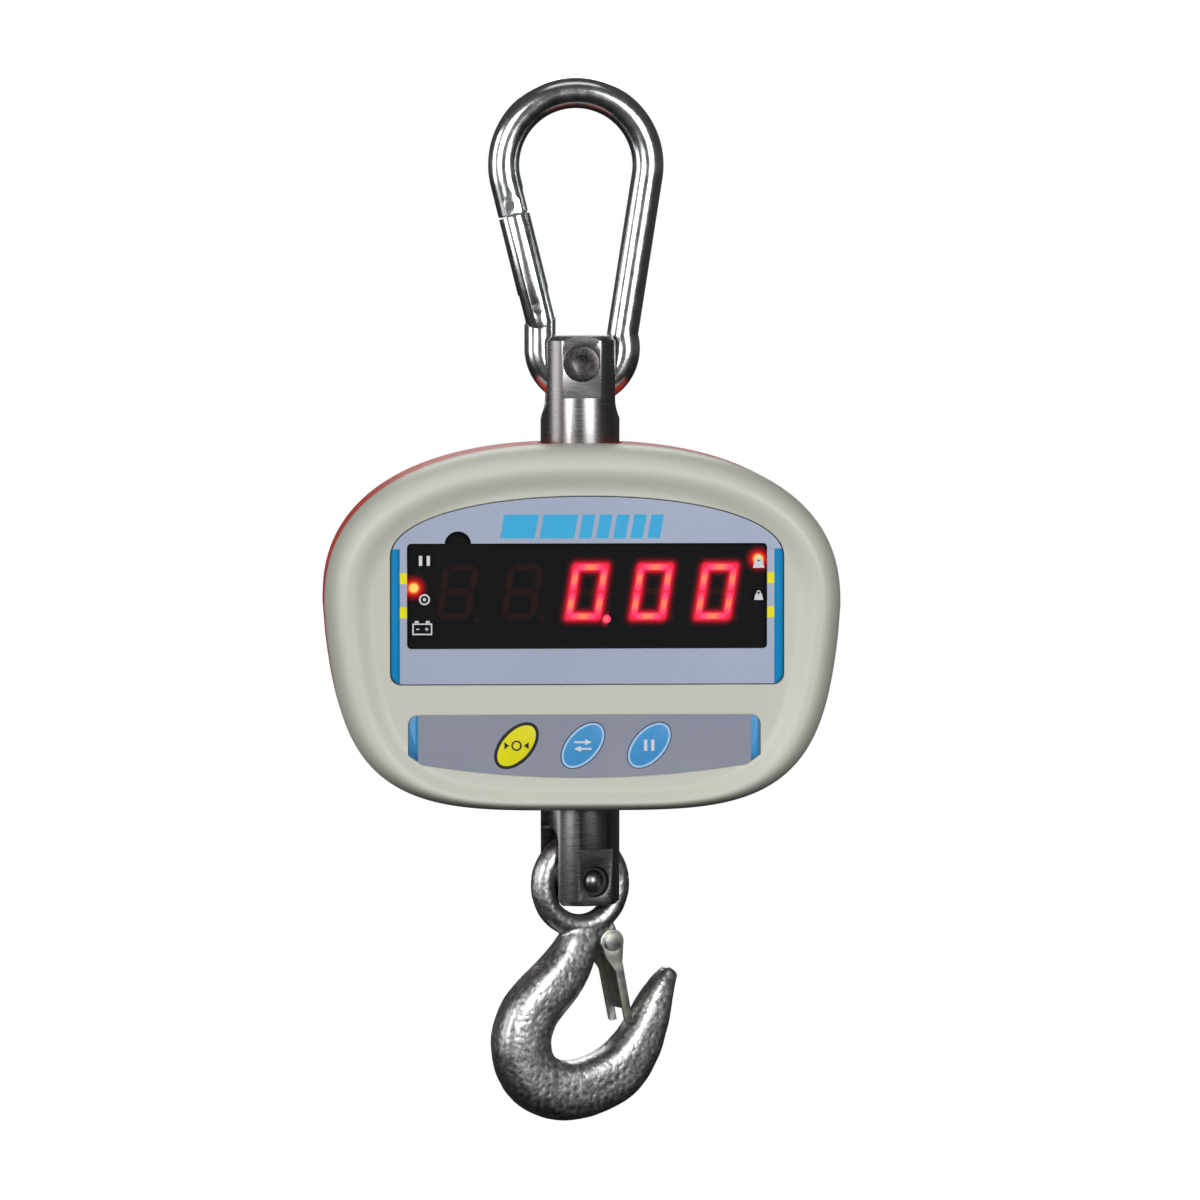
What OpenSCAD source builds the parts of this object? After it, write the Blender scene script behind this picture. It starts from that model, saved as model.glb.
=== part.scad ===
// Hanging crane scale: a snap hook carries a digital weighing head, which carries an eye hook with a latch.
// The origin is the inner top of the snap hook's bow, on the load line. X is right, -Y is the display side.

/* [Snap hook] */
// Diameter of the snap hook's bent bar
bar_d = 11.4; // [10.8:0.1:11.6]
// Centreline radius of the wide top bow
bow_r = 26.3; // [25.8:0.1:26.8]
// Centreline radius of the narrow bottom loop
loop_r = 15.4; // [15.0:0.1:15.8]
// Height from the bearing point down to the loop's centre
loop_drop = 87.3; // [86:0.1:89]

/* [Forks] */
// Radius of the round bar that both forks are turned from
fork_r = 14.4; // [14.2:0.1:14.8]
// Half of the width of the forks' slots
slot_half = 7.2; // [6.9:0.1:7.4]
// Radius of both cross pins (M8)
pin_r = 4; // [3.8:0.1:4]
// Turn of the swivelling fork and hook about the load line at rest
hook_turn = 24; // [0:1:40]
// Height from the upper pin down to the hook's pin
pin_to_pin = 188.7; // [187:0.1:190]

/* [Housing] */
// Half of the housing's width
half_w = 93.6; // [92:0.2:96]
// Height of the housing above its widest line
top_h = 58.6; // [58.2:0.1:60]
// Height of the housing below its widest line
bottom_h = 74.4; // [74:0.1:76]
// Wall thickness of both shells
wall = 2.5; // [2.2:0.1:2.8]
// Depth from the parting plane forward to the raised crest
front_depth = 20; // [19:0.5:21]
// Depth from the parting plane back to the rear face
rear_depth = 50; // [48:1:54]

/* [Display and keys] */
// Width of one LED digit's pitch
digit_pitch = 23.4; // [22.8:0.1:23.8]
// Height of the LED digits
digit_h = 20.4; // [19:0.1:21]
// Distance between key centres
key_pitch = 24; // [22:0.5:26]
// How far a key travels when pressed
key_travel = 0.4; // [0.2:0.05:0.5]

/* [Eye hook] */
// Centreline radius of the hook's eye
eye_r = 15.3; // [15.2:0.1:15.4]
// Section radius of the hook's eye
eye_bar_r = 4.5; // [4.3:0.1:4.6]
// Width of the safety latch across its flanges
latch_w = 14; // [13.5:0.1:15]

/* [Hidden] */
$fn = 64;
EPS = 0.01;
RUN = 0.05;                     // radial clearance of a running fit
GAP = 0.3;                      // gap between curved faces that pass each other

// Snap hook
bar_r = bar_d / 2;
straight_r = bar_r - 0.1;       // the bar is drawn a little thinner along its straight stretches
bend_lap = 1;                   // length of each straight stretch that lies inside a bend
bow_x = -1.5;
bow_z = -(bow_r - bar_r);
loop_x = 0.8;
loop_z = -loop_drop;
left_slope = 14;                // lean of the gate side from the vertical
right_slope = 8.8;              // lean of the solid side from the vertical
loop_end = 18;                  // angle at which the loop meets the solid side
nose_t = 12.1;                  // distance down the gate side to the nose
rivet_t = 47.2;                 // distance down the gate side to the hinge rivet
rivet_r = 2;
ear_r = 7;                      // radius of the gate's rounded lower end about the rivet
tongue_half = 2;                // half thickness of the tongues
left_x = bow_x - bow_r * cos(left_slope);
left_z = bow_z - bow_r * sin(left_slope);
right_x = bow_x + bow_r * cos(right_slope);
right_z = bow_z - bow_r * sin(right_slope);
kink_x = loop_x + loop_r * cos(loop_end);
kink_z = loop_z + loop_r * sin(loop_end);
rivet_x = left_x + rivet_t * sin(left_slope);
rivet_z = left_z - rivet_t * cos(left_slope);
nose_slot_h = 8.5;              // depth of the slot that takes the gate's tongue
nose_gap = 0.55;                // seam between the nose and the gate, which clears the gate as it swings
nose_pin_r = 1.5;
nose_pin_x = -0.6;
nose_pin_up = 4;                // nose pin's height above the nose seam
gate_bore_r = 3;

// Forks and pins
pin_z = loop_z - (loop_r - bar_r) + pin_r + GAP;
fork_top = pin_z + 9.8;
slot_centre = pin_z - 12.9;     // centre of the slot's round bottom
flat_y = 12.6;                  // distance of the forks' flats from the load line
flat_bottom = pin_z - 12.5;
hook_pin_z = pin_z - pin_to_pin;
lower_fork_end = -8.8;          // heights below here are measured from the hook pin
lower_slot_centre = 14.2;
lower_flat_top = 12;
head_r = 6.4;
recess_r = 5.6;                 // recess round the hook pin's domed end
nut_af = 13;
nut_h = 4.5;
sleeve_r = eye_r - eye_bar_r - 2.1;

// Load path inside the housing
stud_r = 8;
shank_end = -130;
cell_top = -140;
cell_bottom = -202;
cell_w = 50;
cell_d = 20;
stud_depth = 14;
cup_r = 17;
cup_top = cell_bottom - 10;
plate_y = cell_d / 2 + 2;       // front of the chassis plate
plate_h = 2;
battery_low = [-73, -14, -206];
battery_high = [-29, plate_y - 1, -156];
cup_bottom = -237;
neck_r = 7;
race_h = 2.5;
ball_r = 2.2;
ball_ring_r = 10.2;
ball_count = 12;
race_z = cup_bottom + 4;        // underside of the lower bearing race

// Housing rings: half width, height above and height below the widest line
centre_z = -180;
power_top = 2.4;
power_bottom = 4;
side_taper = 0.11;              // how much the sides draw in towards the bottom
taper_ease = 0.12;              // share of the lower half over which the taper sets in
ring_points = 96;
edge = [half_w, top_h, bottom_h];
crest = edge - [8, 8.6, 3.5];
face = crest - [10, 8.8, 5];
part_y = -16;
gasket_h = 0.4;
shoulder_y = part_y - 4;
crest_y = part_y - front_depth;
face_y = crest_y + 3.3;
back_y = part_y + rear_depth;
back_round = 14;
// Housing screws: across, up and where the boss ends behind
screw_spots = [for (side = [-1, 1]) each [[side * 41, -134, 28], [side * 79, -186, 31.5], [side * 50, -240, 30]]];
screw_head_y = back_y - 12;

// Label, window and keypad
label_x = 1;                    // the label sits this far right of the load line
label_half = 71;
label_bottom = -208;
label_side_top = -162;
label_peak = -140;
label_depth = 0.6;
window_half = 65;
window_top = -157.1;
window_bottom = -195;
dome_x = -46.7;                 // receiver dome's place on the label
dome_r = 4.7;
digit_z = -174.6;
pad_half = 63.5;
pad_top = -219.1;
pad_side_bottom = -237;
pad_bottom = -241.7;
key_z = -230.1;
key_half_l = 9.7;
key_half_w = 5.7;
key_tilt = 48;
key_x0 = -0.6;
board_h = 1.6;
display_board_y = -22.5;        // rear face of the display board
key_board_y = -21;              // rear face of the key board

// Eye hook, measured from the hook pin: across, up
eye_drop = eye_r - eye_bar_r - sleeve_r - GAP;
latch_pivot = [9.8, -22.8];
latch_lean = 11;
latch_len = 31;
latch_sheet = 1;
lug_half = 3.5;                 // half thickness of the latch's lug
// Stations down the hook's body: across, up, half width in the plane, half thickness
HOOK = [[0, -16.5, 7, 4], [-0.8, -22.5, 7.6, 5.6], [-4.6, -30, 8.8, 7], [-9.6, -36.4, 9.6, 7.8],
        [-15.6, -42.2, 10.1, 8.2], [-21, -48.6, 10.5, 8.4], [-24.1, -57.3, 10.8, 8.5], [-22.8, -66.7, 10.8, 8.5],
        [-17.6, -73.4, 11, 8.5], [-8.2, -77.1, 11.1, 8.4], [3.8, -76, 10.8, 8.3], [15, -71, 10.5, 8.1],
        [22.5, -62.9, 9.2, 7.5], [27.3, -54.1, 7.7, 6.8], [30.6, -46.4, 6.3, 6], [33.6, -40.2, 4.7, 4.9],
        [36.4, -36, 3.3, 3.6]];

// ---------- helpers ----------

function unit(v) = v / norm(v);
function signed_power(v, p) = sign(v) * pow(abs(v), p);
function superellipse(angle, p) = [signed_power(cos(angle), 2 / p), signed_power(sin(angle), 2 / p)];

// Catmull-Rom curve through a list of points, with the given number of steps between two points
function spline_point(a, b, c, d, t) =
    0.5 * (2 * b + (c - a) * t + (2 * a - 5 * b + 4 * c - d) * t * t + (3 * b - a - 3 * c + d) * t * t * t);
function spline(list, steps) =
    let (last = len(list) - 1)
    [for (i = [0:last - 1], k = [0:steps - 1])
        spline_point(list[max(i - 1, 0)], list[i], list[i + 1], list[min(i + 2, last)], k / steps), list[last]];

// Closed solid through rings of points, all with the same number of points
module loft(rings) {
    n = len(rings[0]);
    last = len(rings) - 1;
    walls = [for (j = [0:last - 1], i = [0:n - 1])
        let (k = (i + 1) % n)
        each [[j * n + i, j * n + k, (j + 1) * n + k], [j * n + i, (j + 1) * n + k, (j + 1) * n + i]]];
    ends = [[for (i = [n - 1:-1:0]) i], [for (i = [0:n - 1]) last * n + i]];
    polyhedron([for (ring = rings) each ring], concat(walls, ends));
}

function tangent(path, i) = unit(path[min(i + 1, len(path) - 1)] - path[max(i - 1, 0)]);

// Round wire of radius r along a path; side is a direction that the path never follows
module wire(path, r, sides, side) {
    loft([for (i = [0:len(path) - 1])
        let (along = tangent(path, i), across = unit(cross(along, side)), over = cross(along, across))
        [for (k = [0:sides - 1]) path[i] - r * (cos(360 * k / sides) * across - sin(360 * k / sides) * over)]]);
}

// Coil spring about Z from height z0 to z1
module coil(r, wire_r, turns, z0, z1) {
    steps = 14 * turns;
    wire([for (i = [0:steps]) [r * cos(360 * i / 14), r * sin(360 * i / 14), z0 + (z1 - z0) * i / steps]],
         wire_r, 6, [0, 0, 1]);
}

module y_rod(r, y0, y1) {
    translate([0, y0, 0]) rotate([-90, 0, 0]) cylinder(r = r, h = y1 - y0);
}

module x_rod(r, x0, x1) {
    translate([x0, 0, 0]) rotate([0, 90, 0]) cylinder(r = r, h = x1 - x0);
}

module y_hex(af, y0, y1) {
    translate([0, y0, 0]) rotate([-90, 0, 0]) cylinder(r = af / sqrt(3), h = y1 - y0, $fn = 6);
}

// Box from its lowest to its highest corner
module block(low, high) {
    translate(low) cube(high - low);
}

// Flat shape drawn in X and Z, standing from y0 to y1
module upright(y0, y1) {
    translate([0, y1, 0]) rotate([90, 0, 0]) linear_extrude(y1 - y0) children();
}

module ring_z(r_in, r_out, z0, z1) {
    translate([0, 0, z0]) difference() {
        cylinder(r = r_out, h = z1 - z0);
        translate([0, 0, -1]) cylinder(r = r_in, h = z1 - z0 + 2);
    }
}

// ---------- snap hook ----------

// Straight gate side: its top is the origin and it runs down along -Z
module on_gate_side() {
    translate([left_x, 0, left_z]) rotate([0, -left_slope, 0]) children();
}

module at_rivet() {
    translate([rivet_x, 0, rivet_z]) children();
}

// Arc of the bent bar in the X-Z plane, from angle a0 through a sweep
module bar_arc(x, z, r, a0, sweep) {
    translate([x, 0, z]) rotate([90, 0, 0]) rotate([0, 0, a0])
        rotate_extrude(angle = sweep) translate([r, 0]) circle(r = bar_r);
}

module carabiner_frame() {
    stub_h = rivet_z - loop_z - 3.8;
    kink_lap = 2.5;
    right_len = norm([right_x - kink_x, right_z - kink_z]);
    right_lean = atan2(right_x - kink_x, right_z - kink_z);
    color("gainsboro") difference() {
        union() {
            bar_arc(bow_x, bow_z, bow_r, -right_slope, 180 + left_slope + right_slope);
            bar_arc(loop_x, loop_z, loop_r, 180, 180 + loop_end);
            on_gate_side() translate([0, 0, -nose_t]) cylinder(r = straight_r, h = nose_t + bend_lap);
            translate([kink_x, 0, kink_z]) rotate([0, right_lean, 0])
                translate([0, 0, -kink_lap]) cylinder(r = straight_r, h = right_len + kink_lap + bend_lap);
            difference() {
                translate([loop_x - loop_r, 0, loop_z - bend_lap]) cylinder(r = straight_r, h = stub_h + bend_lap);
                at_rivet() y_rod(ear_r + GAP, -bar_d, bar_d);
            }
            at_rivet() y_rod(rivet_r + 2.4, -tongue_half, tongue_half);
            at_rivet() block([-4.4, -tongue_half, -9], [4.4, tongue_half, 0]);
        }
        at_rivet() y_rod(rivet_r + RUN, -bar_d, bar_d);
        on_gate_side()
            block([-3.2, -tongue_half - 0.2, -nose_t - 1], [bar_d, tongue_half + 0.2, nose_slot_h - nose_t]);
        on_gate_side() translate([nose_pin_x, 0, nose_pin_up - nose_t]) y_rod(nose_pin_r, -bar_d, bar_d);
    }
}

module gate_nose_pin() {
    color("silver") on_gate_side() translate([nose_pin_x, 0, nose_pin_up - nose_t])
        y_rod(nose_pin_r, -bar_r + 0.2, bar_r - 0.2);
}

module gate_tube() {
    notch = nose_pin_r + 0.2;
    color("lightgray") on_gate_side() difference() {
        union() {
            translate([0, 0, -rivet_t]) cylinder(r = bar_r, h = rivet_t - nose_t - nose_gap);
            intersection() {
                translate([0, 0, -rivet_t - ear_r]) cylinder(r = bar_r, h = ear_r + 1);
                translate([0, 0, -rivet_t]) y_rod(ear_r, -bar_d, bar_d);
            }
            block([-2.7, -tongue_half, -nose_t - 1], [4.8, tongue_half, nose_slot_h - nose_t - 0.7]);
        }
        block([-bar_d, -tongue_half - 0.2, -rivet_t - 2 * ear_r], [bar_d, tongue_half + 0.2, 6 - rivet_t]);
        translate([0, 0, -rivet_t]) cylinder(r = gate_bore_r, h = 28);
        translate([0, 0, -rivet_t]) y_rod(rivet_r, -bar_d, bar_d);
        translate([nose_pin_x, 0, nose_pin_up - nose_t]) y_rod(notch, -bar_d, bar_d);
        block([-4, -bar_d, nose_pin_up - nose_t - notch], [nose_pin_x, bar_d, nose_pin_up - nose_t + notch]);
    }
}

module gate_rivet() {
    color("silver") at_rivet() y_rod(rivet_r, -bar_r + 0.1, bar_r - 0.1);
}

module gate_plunger() {
    color("dimgray") on_gate_side() translate([0, 0, -rivet_t]) {
        translate([0, 0, 4.7]) cylinder(r = 1.9, h = 2.3);
        translate([0, 0, 7]) cylinder(r = gate_bore_r - 0.2, h = 2);
    }
}

module gate_spring() {
    color("gray") on_gate_side() translate([0, 0, -rivet_t]) coil(2.2, 0.35, 8, 9.5, 27.4);
}

// ---------- upper fork ----------

module upper_fork() {
    color("lightslategray") difference() {
        union() {
            rotate_extrude() polygon([[0, shank_end], [fork_r - 1, shank_end], [fork_r, shank_end + 1],
                                      [fork_r, fork_top - 1.5], [fork_r - 1.5, fork_top], [0, fork_top]]);
            translate([0, 0, cell_top - stud_depth]) cylinder(r = stud_r, h = shank_end - cell_top + stud_depth + 1);
        }
        block([-20, -slot_half, slot_centre], [20, slot_half, fork_top + 1]);
        translate([0, 0, slot_centre]) x_rod(slot_half, -20, 20);
        for (side = [-1, 1])
            block([-20, side > 0 ? flat_y : -20, flat_bottom], [20, side > 0 ? 20 : -flat_y, fork_top + 1]);
        translate([0, 0, pin_z]) y_rod(pin_r + RUN, -20, 20);
        translate([0, 0, pin_z]) y_rod(head_r + 0.2, -20, -flat_y + 2.4);
    }
}

module upper_pin() {
    color("dimgray") translate([0, 0, pin_z]) difference() {
        union() {
            y_rod(pin_r, -flat_y + 1, flat_y + nut_h + 1.5);
            y_rod(head_r, -flat_y - 0.6, -flat_y + 2.4);
        }
        y_hex(6, -20, -flat_y + 1.6);
    }
}

module upper_pin_nut() {
    color("gray") translate([0, 0, pin_z]) difference() {
        y_hex(nut_af, flat_y, flat_y + nut_h);
        y_rod(pin_r, 0, 30);
    }
}

module upper_lock_nut() {
    color("gray") difference() {
        translate([0, 0, cell_top]) cylinder(r = 24 / sqrt(3), h = 8, $fn = 6);
        translate([0, 0, cell_top - 1]) cylinder(r = stud_r, h = 10);
    }
}

// ---------- load cell and swivel ----------

module load_cell() {
    mid = (cell_top + cell_bottom) / 2;
    arm = 15.5;
    color("silver") difference() {
        block([-cell_w / 2, -cell_d / 2, cell_bottom], [cell_w / 2, cell_d / 2, cell_top]);
        translate([0, 0, cell_top - stud_depth]) cylinder(r = stud_r, h = stud_depth + 1);
        translate([0, 0, cell_bottom - 1]) cylinder(r = stud_r, h = stud_depth + 1);
        translate([0, 0, mid]) y_rod(11, -cell_d, cell_d);
        block([-cell_w, -cell_d, mid + arm - 1.5], [12, cell_d, mid + arm]);
        block([-12, -cell_d, mid - arm], [cell_w, cell_d, mid - arm + 1.5]);
        for (x = [-18, 18])
            translate([x, 0, cell_top - 7]) y_rod(2, 0, cell_d);
    }
}

module strain_gauges() {
    mid = (cell_top + cell_bottom) / 2;
    color("orange") for (x = [-17, 11], z = [-4, 4])
        block([x, -cell_d / 2 - 0.4, mid + z - 2], [x + 6, -cell_d / 2, mid + z + 2]);
}

module load_cell_cable() {
    route = [[cell_w / 2 + 0.4, 0, -180], [27, 0, -180], [29, -2.5, -179.5], [31.5, -7, -176], [33.5, -11, -171.5],
             [35.4, -12.6, -168], [36, -11, -167], [36, -8.3, -167]];
    color("gray") wire(spline(route, 3), 1.3, 8, [0, 0.3, 1]);
}

module swivel_cap() {
    color("silver") {
        translate([0, 0, cup_top]) cylinder(r = cup_r, h = cell_bottom - cup_top);
        translate([0, 0, cell_bottom - EPS]) cylinder(r = stud_r, h = stud_depth);
    }
}

module swivel_cup() {
    color("silver") difference() {
        translate([0, 0, cup_bottom]) cylinder(r = cup_r, h = cup_top - cup_bottom);
        translate([0, 0, race_z]) cylinder(r = 14, h = 60);
        translate([0, 0, cup_bottom - 1]) cylinder(r = neck_r + RUN, h = 60);
    }
}

module lower_race() {
    color("gray") ring_z(neck_r + 0.4, 13.5, race_z, race_z + race_h);
}

module bearing_balls() {
    color("silver") for (i = [0:ball_count - 1])
        rotate([0, 0, 360 * i / ball_count])
            translate([ball_ring_r, 0, race_z + race_h + RUN + ball_r]) sphere(r = ball_r);
}

module upper_race() {
    base = race_z + race_h + 2 * ball_r + 2 * RUN;
    color("gray") ring_z(neck_r + 0.1, 13.5, base, base + race_h);
}

module swivel_nut() {
    base = race_z + 2 * race_h + 2 * ball_r + 2 * RUN;
    color("gray") difference() {
        translate([0, 0, base]) cylinder(r = 21 / sqrt(3), h = 7, $fn = 6);
        translate([0, 0, base - 1]) cylinder(r = neck_r, h = 12);
        translate([0, 0, base + 5]) x_rod(1.3, -20, 20);
    }
}

module split_pin() {
    base = race_z + 2 * race_h + 2 * ball_r + 2 * RUN;
    color("darkgray") translate([0, 0, base + 5]) x_rod(1.2, -13, 13);
}

// ---------- housing ----------

// Width of the housing at a share of the way from its widest line to its bottom
function drawn_in(share) = 1 - side_taper * share * share / (share + taper_ease);

// One ring of the housing's outline at depth y
function outline(e, y) =
    [for (i = [0:ring_points - 1])
        let (angle = 360 * i / ring_points, upper = angle < 180)
        let (p = superellipse(angle, upper ? power_top : power_bottom))
        [e[0] * p[0] * drawn_in(max(0, -p[1])), y, centre_z + (upper ? e[1] : e[2]) * p[1]]];

// Rings that round over from one outline towards another, with the given depth
function rounded_over(from, to, y0, depth, step) =
    [for (angle = [0:step:90]) outline(from + (to - from) * (1 - cos(angle)), y0 + depth * sin(angle))];

// The front shell's rings run from its face back, so that the list goes towards +Y
function reversed(list) = [for (i = [len(list) - 1:-1:0]) list[i]];

module bezel_outside() {
    cove = [for (s = [1:-0.2:0.2])
        outline(crest + (face - crest) * s, crest_y + (face_y - crest_y) * (1 - cos(180 * s)) / 2)];
    over = reversed(rounded_over(edge, crest, shoulder_y, crest_y - shoulder_y, 15));
    loft(concat(cove, over, [outline(edge, part_y - gasket_h)]));
}

module bezel_inside() {
    thin = [wall, wall, wall];
    depth = face_y + wall - shoulder_y;
    over = reversed(rounded_over(edge - thin, crest - thin, shoulder_y, depth, 30));
    loft(concat(over, [outline(edge - thin, part_y + 1)]));
}

module cover_outside() {
    corner = [back_round, back_round, back_round];
    loft(concat([outline(edge, part_y)], rounded_over(edge, edge - corner, back_y - back_round, back_round, 15)));
}

module cover_inside() {
    thin = [wall, wall, wall];
    inner = back_round - wall;
    corner = [inner, inner, inner];
    loft(concat([outline(edge - thin, part_y - 1)],
                rounded_over(edge - thin, edge - thin - corner, back_y - back_round, inner, 30)));
}

// Quarter circle of points in the X-Z plane
function corner(x, z, r, a0) = [for (a = [a0:22.5:a0 + 90]) [x + r * cos(a), z + r * sin(a)]];

module label_shape(grow) {
    half = label_half + grow;
    low = label_bottom - grow;
    arch = [for (i = [0:32])
        let (p = superellipse(180 * i / 32, 2.15))
        [half * p[0], label_side_top + (label_peak + grow - label_side_top) * p[1]]];
    translate([label_x, 0])
        polygon(concat(arch, corner(4 - half, low + 4, 4, 180), corner(half - 4, low + 4, 4, 270)));
}

module window_shape(grow) {
    half = window_half + grow;
    translate([label_x, 0]) {
        polygon(concat(corner(half - 1.5, window_top + grow - 1.5, 1.5, 0),
                       corner(1.5 - half, window_top + grow - 1.5, 1.5, 90),
                       corner(1.5 - half, window_bottom - grow + 1.5, 1.5, 180),
                       corner(half - 1.5, window_bottom - grow + 1.5, 1.5, 270)));
        translate([dome_x, window_top - 0.3]) circle(r = dome_r + grow);
    }
}

module keypad_shape(grow) {
    half = pad_half + grow;
    sag = pad_side_bottom - pad_bottom;
    bottom = [for (x = [-1:0.125:1]) [x * (half - 5), pad_bottom - grow + sag * x * x]];
    polygon(concat(corner(half - 3.5, pad_top + grow - 3.5, 3.5, 0),
                   corner(3.5 - half, pad_top + grow - 3.5, 3.5, 90),
                   [[-half, pad_side_bottom + 3.5]], bottom, [[half, pad_side_bottom + 3.5]]));
}

module key_oval(i, grow) {
    translate([key_x0 + (i - 1) * key_pitch, key_z]) rotate(key_tilt)
        polygon([for (k = [0:39]) [(key_half_l + grow) * cos(9 * k), (key_half_w + grow) * sin(9 * k)]]);
}

module front_bezel() {
    post_x = 69.5;
    color([0.82, 0.82, 0.77]) difference() {
        union() {
            difference() {
                bezel_outside();
                bezel_inside();
            }
            for (spot = screw_spots)
                translate([spot[0], 0, spot[1]]) y_rod(3.8, face_y + wall - 1, part_y - gasket_h);
            for (x = [-post_x, post_x], z = [-154, -197])
                translate([x, 0, z]) y_rod(2.5, face_y + wall - 1, display_board_y - board_h);
            for (x = [-34, 34])
                translate([x, 0, key_z]) y_rod(2.5, face_y + wall - 1, key_board_y - board_h);
        }
        upright(face_y - 1, face_y + label_depth) label_shape(0.15);
        upright(face_y - 1, face_y + 2 * wall) window_shape(0.1);
        upright(face_y - 1, face_y + label_depth) keypad_shape(0.15);
        for (i = [0:2])
            upright(face_y - 1, face_y + 2 * wall) key_oval(i, 0.35);
        for (spot = screw_spots)
            translate([spot[0], 0, spot[1]]) y_rod(1.5, face_y + wall + 1, 0);
    }
}

module rear_cover() {
    color([0.8, 0.2, 0.15]) difference() {
        union() {
            difference() {
                cover_outside();
                cover_inside();
            }
            for (spot = screw_spots)
                translate([spot[0], 0, spot[1]]) y_rod(4.5, part_y + 0.1, spot[2]);
            for (x = [-60, 60], z = [-150, -210])
                translate([x, 0, z]) y_rod(3.5, 14, back_y - 1);
        }
        for (spot = screw_spots)
            translate([spot[0], 0, spot[1]]) {
                y_rod(1.6, part_y - 1, back_y);
                y_rod(3.3, screw_head_y, back_y + 1);
            }
        for (x = [-60, 60], z = [-150, -210])
            translate([x, 0, z]) y_rod(1.5, 13, 26);
        for (z = [centre_z + top_h - 8, centre_z - bottom_h - 8])
            translate([0, 0, z]) cylinder(r = fork_r + 1, h = 16);
        translate([55, 0, -222]) y_rod(5.5, 20, back_y + 1);
        translate([55, 0, -222]) y_rod(7.6, back_y - 1.5, back_y + 1);
        block([-32, back_y - label_depth, -202], [32, back_y + 1, -168]);
    }
}

module housing_gasket() {
    color("black") difference() {
        loft([for (y = [part_y - gasket_h, part_y]) outline(edge - [0.6, 0.6, 0.6], y)]);
        loft([for (y = [part_y - 1, part_y + 1]) outline(edge - [2.2, 2.2, 2.2], y)]);
    }
}

module housing_screws() {
    color("silver") for (spot = screw_spots)
        translate([spot[0], 0, spot[1]]) difference() {
            union() {
                y_rod(1.4, face_y + wall + 2, screw_head_y + 1);
                y_rod(2.8, screw_head_y, screw_head_y + 2.4);
            }
            block([-0.4, screw_head_y + 1.2, -2.2], [0.4, back_y, 2.2]);
            block([-2.2, screw_head_y + 1.2, -0.4], [2.2, back_y, 0.4]);
        }
}

module grommet(z, up) {
    translate([0, 0, z]) {
        ring_z(fork_r + GAP, 19, up > 0 ? -3.4 : 0, up > 0 ? 0 : 3.4);
        ring_z(fork_r + GAP, fork_r + 0.9, up > 0 ? -EPS : -2, up > 0 ? 2 : EPS);
    }
}

module top_grommet() {
    color("dimgray") grommet(centre_z + top_h - wall - 0.8, 1);
}

module bottom_grommet() {
    color("dimgray") grommet(centre_z - bottom_h + wall + 0.4, -1);
}

module rating_plate() {
    color("silver") upright(back_y - label_depth, back_y - 0.1) translate([-31.8, -201.8]) square([63.6, 33.6]);
}

// ---------- display and keys ----------

module display_label() {
    color([0.68, 0.72, 0.82]) upright(face_y + 0.1, face_y + label_depth) difference() {
        label_shape(0);
        window_shape(0.1);
    }
}

module display_window() {
    color([0.08, 0.08, 0.09]) upright(face_y + 0.1, face_y + 2.2) window_shape(0);
}

module keypad_overlay() {
    color([0.56, 0.58, 0.64]) upright(face_y + 0.1, face_y + label_depth) difference() {
        keypad_shape(0);
        for (i = [0:2])
            key_oval(i, 0.35);
    }
}

module key(i) {
    upright(face_y - 0.1, face_y + 1.4) key_oval(i, 0);
    translate([key_x0 + (i - 1) * key_pitch, 0, key_z]) y_rod(2.2, face_y + 1, face_y + 4.4);
}

module key_zero() { color([0.91, 0.89, 0.06]) key(0); }
module key_unit() { color([0.26, 0.59, 0.84]) key(1); }
module key_hold() { color([0.26, 0.59, 0.84]) key(2); }

module key_board() {
    color("darkgreen") block([-38, key_board_y - board_h, key_z - 9], [38, key_board_y, key_z + 9]);
}

module tact_switches() {
    front = key_board_y - board_h;
    color("dimgray") for (i = [0:2])
        translate([key_x0 + (i - 1) * key_pitch, 0, key_z]) {
            block([-3, front - 3.6, -3], [3, front, 3]);
            y_rod(1.7, face_y + 4.4 + key_travel + 0.1, front - 3);
        }
}

module display_board() {
    color("darkgreen") block([-73, display_board_y - board_h, -200], [73, display_board_y, -151]);
}

module led_digits() {
    front = display_board_y - board_h;
    color([0.1, 0.08, 0.08]) for (i = [-2:2])
        translate([label_x + i * digit_pitch, 0, digit_z])
            block([-9.5, front - 5.9, -digit_h / 2 - 3], [9.5, front, digit_h / 2 + 3]);
}

module indicator_leds() {
    front = display_board_y - board_h;
    color("red") for (spot = [[-62.6, -162.4], [-62.6, -173.1], [-62.6, -185], [62, -162.9], [62, -174]])
        translate([label_x + spot[0], 0, spot[1]]) {
            y_rod(1.5, front - 4.5, front);
            translate([0, front - 4.5, 0]) sphere(r = 1.5);
        }
}

module ir_receiver() {
    front = display_board_y - board_h;
    color("black") translate([label_x + dome_x, 0, window_top]) block([-3.5, front - 4, -3], [3.5, front, 3.5]);
}

// Flat cable between the two front boards, folded once
module ribbon_cable() {
    color("lightgray") translate([8, 0, 0]) rotate([90, 0, 90]) linear_extrude(14)
        polygon([[display_board_y, -197], [display_board_y + 2, -199], [display_board_y + 2.5, -210],
                 [key_board_y + 1, -219], [key_board_y, -222], [key_board_y, -224], [key_board_y + 1, -222.5],
                 [key_board_y + 1.8, -219], [display_board_y + 3.3, -210], [display_board_y + 2.8, -198.6],
                 [display_board_y, -195.6]]);
}

// ---------- inside the housing ----------

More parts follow.
